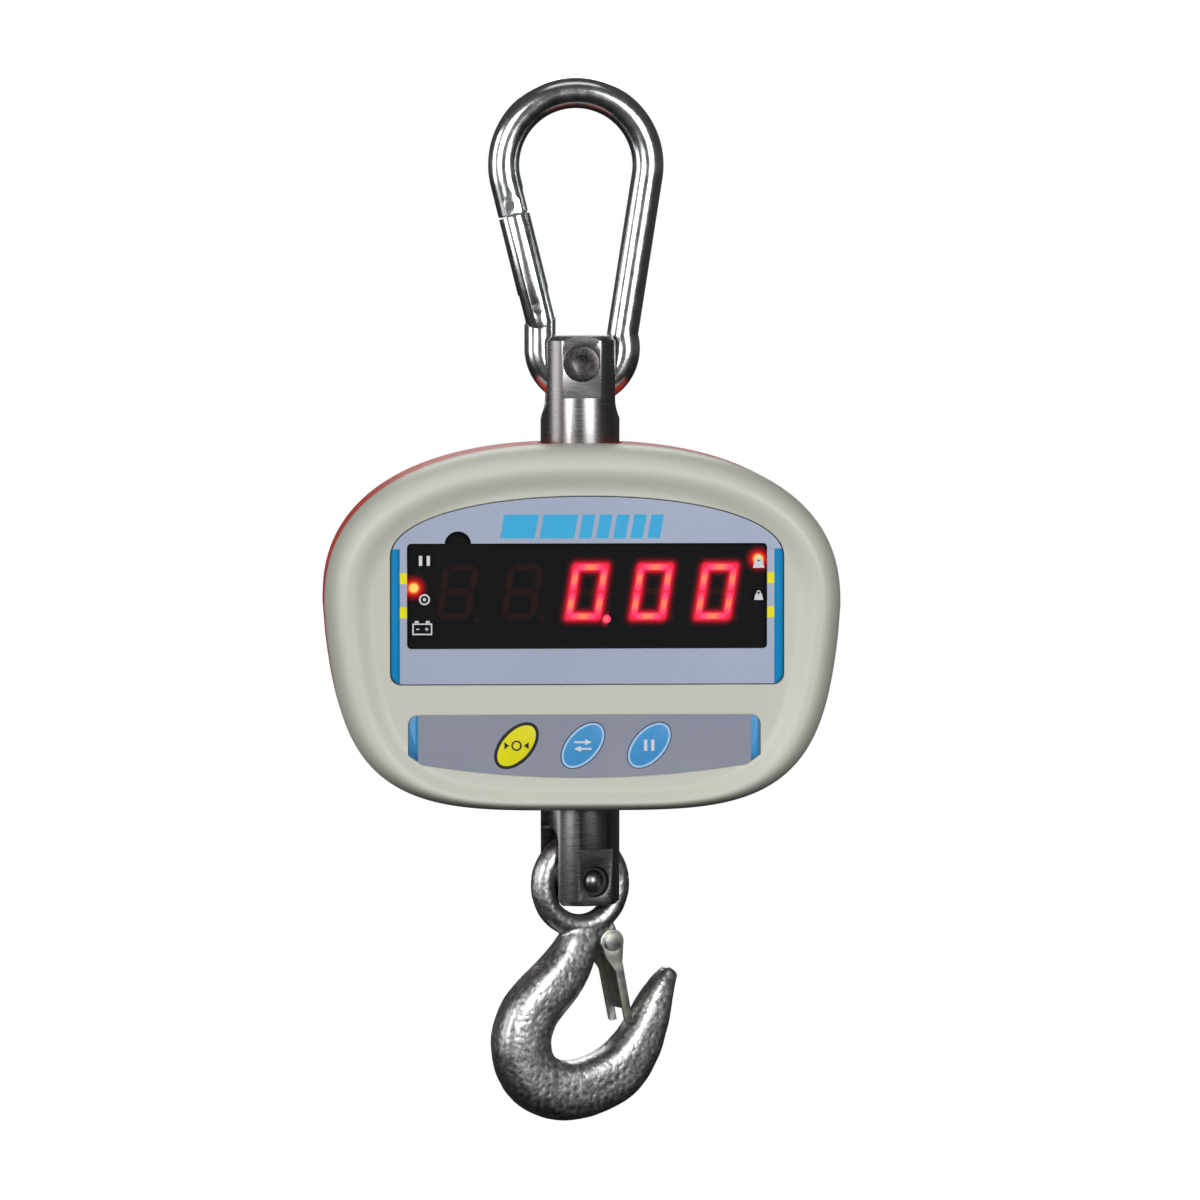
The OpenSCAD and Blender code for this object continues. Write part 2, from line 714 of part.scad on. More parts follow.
module chassis_plate() {
    color("silver") difference() {
        block([-74, plate_y, -215], [74, plate_y + plate_h, -142]);
        block([-cup_r + 2, 0, -220], [cup_r - 2, 30, cell_bottom + 1.5]);
        for (x = [-18, 18])
            translate([x, 0, cell_top - 7]) y_rod(2.1, 0, 30);
        for (x = [-60, 60], z = [-150, -210])
            translate([x, 0, z]) y_rod(1.6, 0, 30);
        for (x = [33, 70], z = [-159, -201])
            translate([x, 0, z]) y_rod(1.6, 0, 30);
    }
}

module chassis_screws() {
    color("silver") {
        for (x = [-18, 18])
            translate([x, 0, cell_top - 7]) {
                y_rod(1.95, 2, plate_y + plate_h + 1);
                y_rod(3.6, plate_y + plate_h, plate_y + plate_h + 2.4);
                difference() {
                    y_rod(4, cell_d / 2, plate_y);
                    y_rod(2, 0, 30);
                }
            }
        for (x = [-60, 60], z = [-150, -210])
            translate([x, 0, z]) {
                y_rod(1.4, plate_y - 1, 24);
                y_rod(2.7, plate_y - 2.2, plate_y);
            }
    }
}

module main_board() {
    color("darkgreen") difference() {
        union() {
            block([29.5, 2, -204], [73, 2 + board_h, -156]);
            for (x = [33, 70], z = [-159, -201])
                translate([x, 0, z]) y_rod(2.5, 3, plate_y);
        }
        for (x = [33, 70], z = [-159, -201])
            translate([x, 0, z]) y_rod(1.5, 0, 30);
    }
}

module board_components() {
    color("black") {
        block([48, 0, -186], [62, 2, -172]);
        block([50, -0.5, -168], [60, 2, -163]);
        block([33, -8, -170], [39, 2, -164]);
        block([43, -6, -200], [51, 2, -192]);
        translate([62, 0, -196]) y_rod(4, -9, 2);
        translate([44, 0, -180]) y_rod(2.5, -6, 2);
        block([41.5, -8, -162], [47.5, 2, -158]);
    }
}

module battery_pack() {
    color("steelblue") block(battery_low, battery_high);
}

module battery_strap() {
    low = [battery_low[0] - 1, battery_low[1] - 1, -186];
    high = [battery_high[0] + 1, plate_y, -176];
    color("black") difference() {
        block(low, high);
        block([battery_low[0], battery_low[1], -190], [battery_high[0], battery_high[1], -170]);
    }
}

module battery_lead() {
    route = [[-33, -4, battery_high[2] + 0.3], [-33, -5.5, -152], [-30, -11, -149], [-22, -14.5, -148], [0, -15, -148],
             [22, -14, -149], [38, -10, -149.5], [44, -5, -152], [44.5, -4, -157.7]];
    color("red") wire(spline(route, 3), 1.3, 8, [0, 1, 0.3]);
}

module charge_socket() {
    color("black") translate([55, 0, -222]) {
        difference() {
            union() {
                y_rod(5.4, 21, back_y - 1.5);
                y_rod(7.4, back_y - 1.5, back_y - 0.2);
            }
            y_rod(3.2, 23, back_y + 1);
        }
        y_rod(1, 22.5, back_y - 3);
    }
}

// ---------- lower fork and hook ----------

// Frame of the turned fork and hook: its origin is on the hook pin
module at_hook() {
    translate([0, 0, hook_pin_z]) rotate([0, 0, hook_turn]) children();
}

module lower_fork() {
    body_top = cup_bottom - 1 - hook_pin_z;
    nut_z = race_z + 2 * race_h + 2 * ball_r + 2 * RUN - hook_pin_z;
    color("lightslategray") at_hook() difference() {
        union() {
            rotate_extrude()
                polygon([[0, lower_fork_end], [fork_r - 1.5, lower_fork_end], [fork_r, lower_fork_end + 1.5],
                         [fork_r, body_top - 1], [fork_r - 1, body_top], [0, body_top]]);
            cylinder(r = neck_r, h = nut_z + 9);
        }
        block([-20, -slot_half, lower_fork_end - 1], [20, slot_half, lower_slot_centre]);
        translate([0, 0, lower_slot_centre]) x_rod(slot_half, -20, 20);
        for (side = [-1, 1])
            block([-20, side > 0 ? flat_y : -20, lower_fork_end - 1], [20, side > 0 ? 20 : -flat_y, lower_flat_top]);
        y_rod(pin_r + RUN, -20, 20);
        y_rod(recess_r, -20, 3 - flat_y);
        translate([0, 0, nut_z + 5]) rotate([0, 0, -hook_turn]) x_rod(1.25, -20, 20);
    }
}

module hook_pin() {
    dome_y = 4.4 - flat_y;
    color("dimgray") at_hook() {
        y_rod(pin_r, dome_y, flat_y + nut_h + 1.5);
        translate([0, dome_y, 0]) sphere(r = pin_r);
    }
}

module hook_pin_nut() {
    color("gray") at_hook() difference() {
        y_hex(nut_af, flat_y, flat_y + nut_h);
        y_rod(pin_r, 0, 30);
    }
}

module hook_pin_sleeve() {
    color("gray") at_hook() difference() {
        y_rod(sleeve_r, -slot_half + 0.2, slot_half - 0.2);
        y_rod(pin_r + RUN, -20, 20);
    }
}

// Ring of the hook's body at one station of its centreline
function hook_ring(path, i) =
    let (p = path[i], along = tangent([for (q = path) [q[0], 0, q[1]]], i), across = [along[2], 0, -along[0]])
    [for (k = [0:19])
        let (s = superellipse(18 * k, 3))
        [p[0], 0, p[1]] + p[2] * s[0] * across - [0, p[3] * s[1], 0]];

module load_hook() {
    path = spline(HOOK, 3);
    color("silver") at_hook() difference() {
        union() {
            translate([0, 0, -eye_drop])
                rotate([90, 0, 0]) rotate_extrude() translate([eye_r, 0]) circle(r = eye_bar_r);
            loft([for (i = [0:len(path) - 1]) hook_ring(path, i)]);
            upright(-lug_half, lug_half)
                polygon([[3, -15], [11.5, -14.5], [14.2, -20.5], [13.6, -25.5], [9, -27.6], [2, -27]]);
        }
        translate([latch_pivot[0], 0, latch_pivot[1]]) y_rod(2, -20, 20);
    }
}

module at_latch() {
    at_hook() translate([latch_pivot[0], 0, latch_pivot[1]]) rotate([0, -latch_lean, 0]) children();
}

module latch_rivet() {
    outer = latch_w / 2;
    color("silver") at_latch() {
        y_rod(2, -outer - 1, outer + 1);
        y_rod(3.2, outer + 0.1, outer + 1.2);
        y_rod(3.2, -outer - 1.2, -outer - 0.1);
    }
}

module safety_latch() {
    outer = latch_w / 2;
    inner = outer - latch_sheet;
    color("tan") at_latch() difference() {
        union() {
            block([1.6, -outer, 5 - latch_len], [1.6 + latch_sheet, outer, -4]);
            for (y0 = [-outer, inner]) {
                y_rod(4.6, y0, y0 + latch_sheet);
                upright(y0, y0 + latch_sheet)
                    polygon([[-4.4, -1], [-3.8, -5], [-0.9, -11], [-0.6, 1 - latch_len], [0.2, -latch_len],
                             [1.6 + latch_sheet, -latch_len], [1.6 + latch_sheet, -8], [4.4, -1]]);
            }
        }
        y_rod(2 + RUN, -20, 20);
    }
}

module latch_spring() {
    color("gray") at_latch() for (y0 = [-5.6, 3.9])
        translate([0, y0, 0]) rotate([-90, 0, 0]) coil(2.7, 0.4, 2, 0, 1.7);
}

carabiner_frame();
gate_nose_pin();
gate_tube();
gate_rivet();
gate_spring();
gate_plunger();
upper_fork();
upper_pin();
upper_pin_nut();
upper_lock_nut();
load_cell();
strain_gauges();
load_cell_cable();
swivel_cap();
swivel_cup();
lower_race();
bearing_balls();
upper_race();
swivel_nut();
split_pin();
front_bezel();
rear_cover();
housing_gasket();
housing_screws();
top_grommet();
bottom_grommet();
display_label();
display_window();
keypad_overlay();
key_zero();
key_unit();
key_hold();
key_board();
tact_switches();
display_board();
led_digits();
indicator_leds();
ir_receiver();
ribbon_cable();
chassis_plate();
chassis_screws();
main_board();
board_components();
battery_pack();
battery_strap();
battery_lead();
charge_socket();
rating_plate();
lower_fork();
hook_pin();
hook_pin_nut();
hook_pin_sleeve();
load_hook();
latch_rivet();
safety_latch();
latch_spring();
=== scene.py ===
"""Looks and final meshes of a hanging crane scale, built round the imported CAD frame.

Lengths are in millimetres and angles in degrees, and a mesh is scaled to metres when it is made.
X is right, -Y is the display side, Z is up, and the origin is the inner top of the snap hook's bow.
"""

import math

import bmesh
import bpy
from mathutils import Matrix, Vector, noise

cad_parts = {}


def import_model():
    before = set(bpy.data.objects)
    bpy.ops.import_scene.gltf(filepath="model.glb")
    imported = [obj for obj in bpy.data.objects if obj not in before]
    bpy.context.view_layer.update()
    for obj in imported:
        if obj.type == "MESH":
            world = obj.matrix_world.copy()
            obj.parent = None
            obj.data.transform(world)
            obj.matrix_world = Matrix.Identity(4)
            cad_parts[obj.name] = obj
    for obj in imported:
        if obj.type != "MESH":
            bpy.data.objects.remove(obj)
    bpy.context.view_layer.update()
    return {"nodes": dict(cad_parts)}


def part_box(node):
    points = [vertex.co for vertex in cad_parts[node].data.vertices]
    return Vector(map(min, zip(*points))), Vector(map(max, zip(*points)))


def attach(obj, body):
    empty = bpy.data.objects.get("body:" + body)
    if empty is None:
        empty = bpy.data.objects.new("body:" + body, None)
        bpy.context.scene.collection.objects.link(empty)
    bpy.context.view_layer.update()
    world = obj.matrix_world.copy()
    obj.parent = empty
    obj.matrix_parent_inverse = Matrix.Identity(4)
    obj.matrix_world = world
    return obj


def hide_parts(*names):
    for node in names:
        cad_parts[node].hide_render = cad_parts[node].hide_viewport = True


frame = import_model()

MM = 0.001
FRONT = 0.03  # how far a print stands proud of the film under it
WELD_GAP = 0.0005  # corners of a CAD mesh closer than this are one corner


def box_mm(node):
    """Lowest and highest corner of a CAD node."""
    low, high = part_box(node)
    return Vector(low) / MM, Vector(high) / MM


def centre_mm(node):
    low, high = box_mm(node)
    return (low + high) / 2


# ---------- named sizes ----------

bezel_low, bezel_high = box_mm("front_bezel")
cover_low, cover_high = box_mm("rear_cover")
label_low, label_high = box_mm("display_label")
window_low, window_high = box_mm("display_window")
pad_low, pad_high = box_mm("keypad_overlay")
digits_low, digits_high = box_mm("led_digits")

# Snap hook
BAR_R = 5.69
BOW_R = 26.3
LOOP_R = 15.4
BOW = (-1.5, BAR_R - BOW_R)
LOOP = (0.8, -87.3)
LEFT_SLOPE = 14
RIGHT_SLOPE = 8.8
LOOP_END = 18
NOSE_DOWN = 12.1
RIVET_DOWN = 47.2
GATE_EAR_R = 7.3
TONGUE_R = 4.4
TONGUE_HALF = 2
NOSE_SLOT = 8.5
NOSE_SLOT_SIDE = -3.2
NOSE_FLAT_Y = 4.9

# Housing: half width, height above and height below the widest line
WIDEST_Z = -180
POWER_TOP = 2.4
POWER_BOTTOM = 4
SIDE_TAPER = 0.11
TAPER_EASE = 0.12
WALL = 2.5
EDGE = Vector((cover_high.x, cover_high.z - WIDEST_Z, WIDEST_Z - cover_low.z))
CREST = EDGE - Vector((8, 8.6, 3.5))
FACE = CREST - Vector((10, 8.8, 5))
CREST_Y = bezel_low.y
SHOULDER_Y = CREST_Y + 16
FACE_Y = label_low.y - 0.1
BACK_ROUND = 14
LABEL_DEEP = 0.6
RECESS_GAP = 0.3
COVE_STEPS = 18
# Screws on the right half: across, up, and where the boss round each one ends
SCREWS = ((41, -134, 28), (79, -186, 31.5), (50, -240, 30))
SCREW_SPOTS = [(side * x, z, end) for side in (-1, 1) for x, z, end in SCREWS]
BOSS_R = 4.5
SCREW_R = 1.6
SCREW_HEAD_R = 3.3
SCREW_HEAD_Y = cover_high.y - 12
SEAL_R = 15.4
SEAL_DEEP = 8
SOCKET = centre_mm("charge_socket")
SOCKET_HOLE_R = 5.5
SOCKET_RIM_R = 7.6
SOCKET_RIM_Y = cover_high.y - 1.5

# Label, window and keys
LABEL_X = (label_low.x + label_high.x) / 2
LABEL_HALF = (label_high.x - label_low.x) / 2
LABEL_SIDE_TOP = -162
LABEL_POWER = 2.15
LABEL_CORNER_R = 4
STRIP_W = 3.3
MARK_ROWS = (-169.6, -181.9)
MARK_HALF_H = 2
BAR_X = -30.5
BAR_LOW = -155.2
BAR_HIGH = -146.6
BAR_WIDTHS = (12.5, 12.5, 4.5, 4.5, 4.5, 4.5, 4.5)
BAR_GAP = 1.7
BAR_LEAN = 10
WINDOW_HALF = (window_high.x - window_low.x) / 2
WINDOW_CORNER_R = 1.5
DOME_R = 4.7
DOME_X = -46.7
WINDOW_TOP = window_high.z - DOME_R + 0.3
PAD_SIDE_BOTTOM = pad_low.z + 4.7
PAD_CORNER_R = 3.5
KEY_TILT = 48
KEY_LONG = 9.7
KEY_SHORT = 5.7
KEY_GAP = 0.35
KEY_RIM_W = 0.8
DIGIT_PITCH = 23.4
DIGIT_Z = (digits_low.z + digits_high.z) / 2
DIGIT_W = 10.3
DIGIT_H = 17.8
DIGIT_LEAN = 9
STROKE = 2.5
LIT_STROKE = 2
LAMP_R = 5.2

# Eye hook, measured from the hook pin
HOOK_TURN = 24
HOOK_PIN_Z = centre_mm("hook_pin").z
EYE_R = 15.3
EYE_BAR_R = 4.5
EYE_DROP = 1.8
LUG_HALF = 3.5
# Stations down the hook's body: across, up, half width in the plane, half thickness
HOOK = [
    (0, -16.5, 7, 4), (-0.8, -22.5, 7.6, 5.6), (-4.6, -30, 8.8, 7), (-9.6, -36.4, 9.6, 7.8),
    (-15.6, -42.2, 10.1, 8.2), (-21, -48.6, 10.5, 8.4), (-24.1, -57.3, 10.8, 8.5),
    (-22.8, -66.7, 10.8, 8.5), (-17.6, -73.4, 11, 8.5), (-8.2, -77.1, 11.1, 8.4), (3.8, -76, 10.8, 8.3),
    (15, -71, 10.5, 8.1), (22.5, -62.9, 9.2, 7.5), (27.3, -54.1, 7.7, 6.8), (30.6, -46.4, 6.3, 6),
    (33.6, -40.2, 4.7, 4.9), (36.4, -36, 3.3, 3.6),
]
HOOK_POWER = 3
TIP_ROUND = 2.2
SKIN_FINE = 0.42


# ---------- geometry helpers ----------

def turn(x, z, degrees):
    """The point (x, z) turned about the origin."""
    c, s = math.cos(math.radians(degrees)), math.sin(math.radians(degrees))
    return x * c - z * s, x * s + z * c


def on_circle(x, z, r, degrees):
    a = math.radians(degrees)
    return x + r * math.cos(a), z + r * math.sin(a)


def arc(x, z, r, start, stop, steps):
    """Points along an arc in the X-Z plane."""
    return [on_circle(x, z, r, start + (stop - start) * i / steps) for i in range(steps + 1)]


def circle(x, z, r, sides):
    """Points round a whole circle in the X-Z plane."""
    return arc(x, z, r, 0, 360, sides)[:-1]


def superellipse(degrees, power):
    """A point of the unit curve that is a circle at power 2, and squarer above that."""
    a = math.radians(degrees)
    return tuple(math.copysign(abs(v) ** (2 / power), v) for v in (math.cos(a), math.sin(a)))


def smooth_step(t):
    """Eases from 0 to 1 as t does."""
    return (1 - math.cos(math.pi * t)) / 2


class Shape:
    """Collects closed solids in millimetres and becomes one mesh object."""

    def __init__(self):
        self.mesh = bmesh.new()
        self.paint = self.mesh.verts.layers.float.new("paint")

    def loft(self, rings, paint=None, closed=False):
        """Solid through rings of points, with flat ends unless closed joins the last ring to the first.

        paint gives each ring a value for its material.
        """
        made = []
        for i, ring in enumerate(rings):
            made.append([self.mesh.verts.new(p) for p in ring])
            for vert in made[-1]:
                vert[self.paint] = paint[i] if paint else 0
        count = len(made[0])
        faces = []
        following = made[1:] + made[:1] if closed else made[1:]
        for low, high in zip(made, following):
            for i in range(count):
                k = (i + 1) % count
                faces.append(self.mesh.faces.new((low[i], low[k], high[k], high[i])))
        if not closed:
            faces.append(self.mesh.faces.new(made[0]))
            faces.append(self.mesh.faces.new(made[-1]))
        bmesh.ops.recalc_face_normals(self.mesh, faces=faces)
        return self

    def prism(self, points, y0, y1):
        """Flat shape of (x, z) points, standing from y0 to y1."""
        return self.loft([[(x, y, z) for x, z in points] for y in (y0, y1)])

    def rod(self, x, z, profile, sides=48):
        """Round solid along Y at (x, z) from a profile of (radius, y)."""
        return self.loft([[(px, y, pz) for px, pz in circle(x, z, r, sides)] for r, y in profile])

    def block(self, low, high):
        points = [(low[0], low[2]), (high[0], low[2]), (high[0], high[2]), (low[0], high[2])]
        return self.prism(points, low[1], high[1])

    def object(self, name, sharp=35):
        """The finished object, smooth except along edges sharper than the given angle."""
        bmesh.ops.scale(self.mesh, vec=(MM, MM, MM), verts=self.mesh.verts)
        set_shading(self.mesh, sharp)
        data = bpy.data.meshes.new(name)
        self.mesh.to_mesh(data)
        self.mesh.free()
        obj = bpy.data.objects.new(name, data)
        bpy.context.scene.collection.objects.link(obj)
        return obj


def set_shading(mesh, sharp):
    """Smooth faces, with hard edges where the surface turns by more than the given angle."""
    for face in mesh.faces:
        face.smooth = True
    for edge in mesh.edges:
        edge.smooth = len(edge.link_faces) == 2 and edge.calc_face_angle(0) < math.radians(sharp)


def reshade(obj, sharp=35):
    """Shades an object again, after modifiers have changed its mesh."""
    mesh = bmesh.new()
    mesh.from_mesh(obj.data)
    set_shading(mesh, sharp)
    mesh.to_mesh(obj.data)
    mesh.free()


def apply_modifiers(obj):
    """Makes the mesh that the modifiers give the object's own, and clears them."""
    graph = bpy.context.evaluated_depsgraph_get()
    graph.update()
    data = bpy.data.meshes.new_from_object(obj.evaluated_get(graph), depsgraph=graph)
    data.name = obj.name
    obj.modifiers.clear()
    obj.data = data


def combine(obj, other, operation="DIFFERENCE"):
    """Cuts, joins or intersects obj with a helper object, which is then deleted."""
    modifier = obj.modifiers.new("combine", "BOOLEAN")
    modifier.operation = operation
    modifier.solver = "EXACT"
    modifier.object = other
    apply_modifiers(obj)
    bpy.data.objects.remove(other)
    return obj


def catmull_rom(points, steps):
    """Smooth curve through points of any dimension."""
    last = len(points) - 1
    made = []
    for i in range(last):
        a, b, c, d = [Vector(points[max(0, min(last, i + k))]) for k in (-1, 0, 1, 2)]
        square = 2 * a - 5 * b + 4 * c - d
        cube = 3 * b - a - 3 * c + d
        for k in range(steps):
            t = k / steps
            made.append(0.5 * (2 * b + (c - a) * t + square * t * t + cube * t ** 3))
    return made + [Vector(points[last])]


def directions(path):
    """Unit direction at each (x, z) point of a path."""
    made = []
    for i in range(len(path)):
        before, after = path[max(i - 1, 0)], path[min(i + 1, len(path) - 1)]
        made.append(Vector((after[0] - before[0], after[1] - before[1])).normalized())
    return made


def bar_rings(path, radii, sides=40):
    """Round rings of the given radii across a path of (x, z) points."""
    rings = []
    for (x, z), along, r in zip(path, directions(path), radii):
        rings.append([(x + along[1] * u, v, z - along[0] * u) for u, v in circle(0, 0, r, sides)])
    return rings


# ---------- materials ----------

def link_noise(nodes, links, where, scale):
    """Noise of the given scale over the coordinates in where."""
    made = nodes.new("ShaderNodeTexNoise")
    made.inputs["Scale"].default_value = scale
    made.inputs["Detail"].default_value = 4
    links.new(where, made.inputs["Vector"])
    return made.outputs["Fac"]


def spread(nodes, links, value, low, high):
    """value, which lies between about 0.3 and 0.7, mapped onto low to high."""
    made = nodes.new("ShaderNodeMapRange")
    made.inputs["From Min"].default_value = 0.3
    made.inputs["From Max"].default_value = 0.7
    made.inputs["To Min"].default_value = low
    made.inputs["To Max"].default_value = high
    links.new(value, made.inputs["Value"])
    return made.outputs["Result"]


def surface(name, dark, light, rough, metal=0.0, patch=60, grain=1500, bump=0.0, depth=0.05,
            stretch=(1, 1, 1), alpha=1.0, specular=0.5):
    """A finish between two colours: broad patches tint it, and a fine grain sets its roughness and bump.

    patch and grain are in features per metre, and depth is the bump's depth in millimetres.
    """
    material = bpy.data.materials.new(name)
    material.use_nodes = True
    nodes, links = material.node_tree.nodes, material.node_tree.links
    shader = nodes["Principled BSDF"]
    where = nodes.new("ShaderNodeTexCoord").outputs["Object"]
    mapping = nodes.new("ShaderNodeMapping")
    mapping.inputs["Scale"].default_value = stretch
    links.new(where, mapping.inputs["Vector"])
    broad = link_noise(nodes, links, where, patch)
    fine = link_noise(nodes, links, mapping.outputs["Vector"], grain)
    both = nodes.new("ShaderNodeMath")
    both.operation = "MULTIPLY_ADD"
    both.inputs[1].default_value = 0.5
    links.new(broad, both.inputs[0])
    half = nodes.new("ShaderNodeMath")
    half.operation = "MULTIPLY"
    half.inputs[1].default_value = 0.5
    links.new(fine, half.inputs[0])
    links.new(half.outputs[0], both.inputs[2])
    mix = nodes.new("ShaderNodeMix")
    mix.data_type = "RGBA"
    mix.inputs["A"].default_value = (*dark, 1)
    mix.inputs["B"].default_value = (*light, 1)
    links.new(spread(nodes, links, both.outputs[0], 0, 1), mix.inputs["Factor"])
    links.new(mix.outputs["Result"], shader.inputs["Base Color"])
    links.new(spread(nodes, links, fine, rough * 0.8, rough * 1.2), shader.inputs["Roughness"])
    shader.inputs["Metallic"].default_value = metal
    shader.inputs["Specular IOR Level"].default_value = specular
    shader.inputs["Alpha"].default_value = alpha
    if bump:
        relief = nodes.new("ShaderNodeBump")
        relief.inputs["Strength"].default_value = bump
        relief.inputs["Distance"].default_value = depth * MM
        links.new(fine, relief.inputs["Height"])
        links.new(relief.outputs["Normal"], shader.inputs["Normal"])
    return material


def lit(name, stops, strength, fade=False):
    """A glowing finish whose colour follows the mesh's paint value; with fade, so does its cover."""
    material = bpy.data.materials.new(name)
    material.use_nodes = True
    nodes, links = material.node_tree.nodes, material.node_tree.links
    shader = nodes["Principled BSDF"]
    paint = nodes.new("ShaderNodeAttribute")
    paint.attribute_name = "paint"
    ramp = nodes.new("ShaderNodeValToRGB")
    elements = ramp.color_ramp.elements
    while len(elements) < len(stops):
        elements.new(0.5)
    for element, (position, colour) in zip(elements, stops):
        element.position = position
        element.color = (*colour, 1)
    links.new(paint.outputs["Fac"], ramp.inputs["Fac"])
    links.new(ramp.outputs["Color"], shader.inputs["Emission Color"])
    where = nodes.new("ShaderNodeTexCoord").outputs["Object"]
    uneven = spread(nodes, links, link_noise(nodes, links, where, 300), strength * 0.92, strength * 1.08)
    links.new(uneven, shader.inputs["Emission Strength"])
    shader.inputs["Base Color"].default_value = (0.05, 0.005, 0.005, 1)
    shader.inputs["Roughness"].default_value = 0.6
    if fade:
        links.new(paint.outputs["Fac"], shader.inputs["Alpha"])
    return material


RED = (1.0, 0.02, 0.06)
LOOKS = {
    "zinc_steel": surface(
        "zinc_steel", (0.7, 0.72, 0.74), (0.86, 0.88, 0.9), 0.2, metal=1, patch=50, grain=300, bump=0.15,
    ),
    "turned_steel": surface(
        "turned_steel", (0.25, 0.24, 0.24), (0.29, 0.28, 0.275), 0.29, metal=1, patch=90, grain=160,
        bump=0.02, depth=0.02, stretch=(1, 1, 30),
    ),
    "black_steel": surface(
        "black_steel", (0.08, 0.075, 0.075), (0.15, 0.14, 0.14), 0.3, metal=1, patch=200, bump=0.2,
    ),
    "bearing_steel": surface(
        "bearing_steel", (0.5, 0.5, 0.52), (0.75, 0.75, 0.76), 0.12, metal=1, bump=0.05,
    ),
    "spring_steel": surface(
        "spring_steel", (0.25, 0.25, 0.26), (0.45, 0.45, 0.45), 0.38, metal=1, bump=0.1,
    ),
    "forged_zinc": surface(
        "forged_zinc", (0.33, 0.33, 0.335), (0.68, 0.685, 0.67), 0.38, metal=1, patch=90, grain=600,
        bump=0.5, depth=0.25,
    ),
    "yellow_zinc": surface(
        "yellow_zinc", (0.5, 0.56, 0.62), (0.92, 0.87, 0.62), 0.34, metal=1, patch=110, grain=300,
        bump=0.1, depth=0.03,
    ),
    "cell_alloy": surface(
        "cell_alloy", (0.6, 0.61, 0.63), (0.78, 0.79, 0.8), 0.35, metal=1, stretch=(1, 1, 0.05), bump=0.2,
    ),
    "gauge_foil": surface("gauge_foil", (0.6, 0.32, 0.08), (0.8, 0.46, 0.14), 0.3, grain=3000),
    "beige_abs": surface(
        "beige_abs", (0.58, 0.59, 0.51), (0.62, 0.63, 0.55), 0.45, patch=14, grain=2600, bump=0.12,
        depth=0.03,
    ),
    "red_abs": surface(
        "red_abs", (0.74, 0.05, 0.025), (0.84, 0.08, 0.045), 0.38, patch=14, grain=2600, bump=0.12,
        depth=0.03,
    ),
    "black_rubber": surface(
        "black_rubber", (0.012, 0.012, 0.012), (0.035, 0.035, 0.035), 0.7, grain=2500, bump=0.3,
    ),
    "label_film": surface(
        "label_film", (0.42, 0.48, 0.63), (0.5, 0.56, 0.71), 0.3, metal=0.25, patch=25, grain=3500,
        bump=0.04, depth=0.01,
    ),
    "dark_window": surface(
        "dark_window", (0.004, 0.004, 0.006), (0.008, 0.008, 0.01), 0.07, patch=40, alpha=0.35,
        specular=0.25,
    ),
    "keypad_film": surface(
        "keypad_film", (0.24, 0.26, 0.34), (0.29, 0.31, 0.39), 0.38, patch=25, grain=3500, bump=0.05,
        depth=0.01,
    ),
    "print_blue": surface(
        "print_blue", (0.001, 0.22, 0.52), (0.002, 0.26, 0.58), 0.5, grain=3000, specular=0.15,
    ),
    "print_cyan": surface("print_cyan", (0.035, 0.4, 0.72), (0.045, 0.45, 0.78), 0.35, grain=3000),
    "print_pale_blue": surface("print_pale_blue", (0.35, 0.58, 0.85), (0.42, 0.64, 0.9), 0.35, grain=3000),
    "print_yellow": surface("print_yellow", (0.85, 0.74, 0.005), (0.92, 0.82, 0.01), 0.35, grain=3000),
    # Black print on the zero key, also used as painted shade round the label's edge.
    "black_print_and_painted_shade": surface("black_print_and_painted_shade", (0.008, 0.008, 0.01), (0.02, 0.02, 0.024), 0.4, grain=3000),
    "print_white": surface("print_white", (0.62, 0.63, 0.66), (0.75, 0.76, 0.78), 0.4, grain=3000),
    "yellow_film": surface(
        "yellow_film", (0.75, 0.7, 0.005), (0.84, 0.79, 0.01), 0.3, grain=2500, bump=0.08, depth=0.02,
    ),
    "blue_film": surface(
        "blue_film", (0.05, 0.29, 0.62), (0.065, 0.33, 0.68), 0.3, grain=2500, bump=0.08, depth=0.02,
    ),
    "circuit_board": surface("circuit_board", (0.01, 0.09, 0.03), (0.02, 0.15, 0.05), 0.35, patch=300),
    "black_plastic": surface("black_plastic", (0.015, 0.015, 0.017), (0.035, 0.035, 0.038), 0.45, bump=0.1),
    "display_mask": surface("display_mask", (0.009, 0.009, 0.011), (0.014, 0.014, 0.016), 0.6, patch=40),
    "dark_segment": surface("dark_segment", (0.07, 0.02, 0.013), (0.11, 0.032, 0.02), 0.6, patch=250),
    "led_red": surface("led_red", (0.22, 0.01, 0.01), (0.32, 0.02, 0.02), 0.25),
    "cable_grey": surface("cable_grey", (0.25, 0.25, 0.26), (0.33, 0.33, 0.34), 0.5, bump=0.1),
    "battery_wrap": surface("battery_wrap", (0.05, 0.16, 0.36), (0.08, 0.22, 0.45), 0.35),
    "lead_red": surface("lead_red", (0.5, 0.02, 0.02), (0.6, 0.04, 0.04), 0.45),
    "plate_silver": surface(
        "plate_silver", (0.5, 0.51, 0.52), (0.62, 0.63, 0.64), 0.4, metal=0.8, stretch=(0.05, 1, 1),
        bump=0.15,
    ),
    "lit_segment": lit(
        "lit_segment", [(0, (1, 0.05, 0.17)), (0.5, (1, 0.06, 0.14)), (1, (1, 0.19, 0.09))], 3.0,
    ),
    "lit_halo": lit("lit_halo", [(0, (0.6, 0, 0.01)), (1, RED)], 2.4, fade=True),
    "lit_lamp": lit(
        "lit_lamp",
        [(0, (0.6, 0, 0)), (0.6, (1, 0.015, 0.02)), (0.85, (1, 0.2, 0.03)), (1, (1, 0.7, 0.15))], 2.4,
        fade=True,
    ),
}

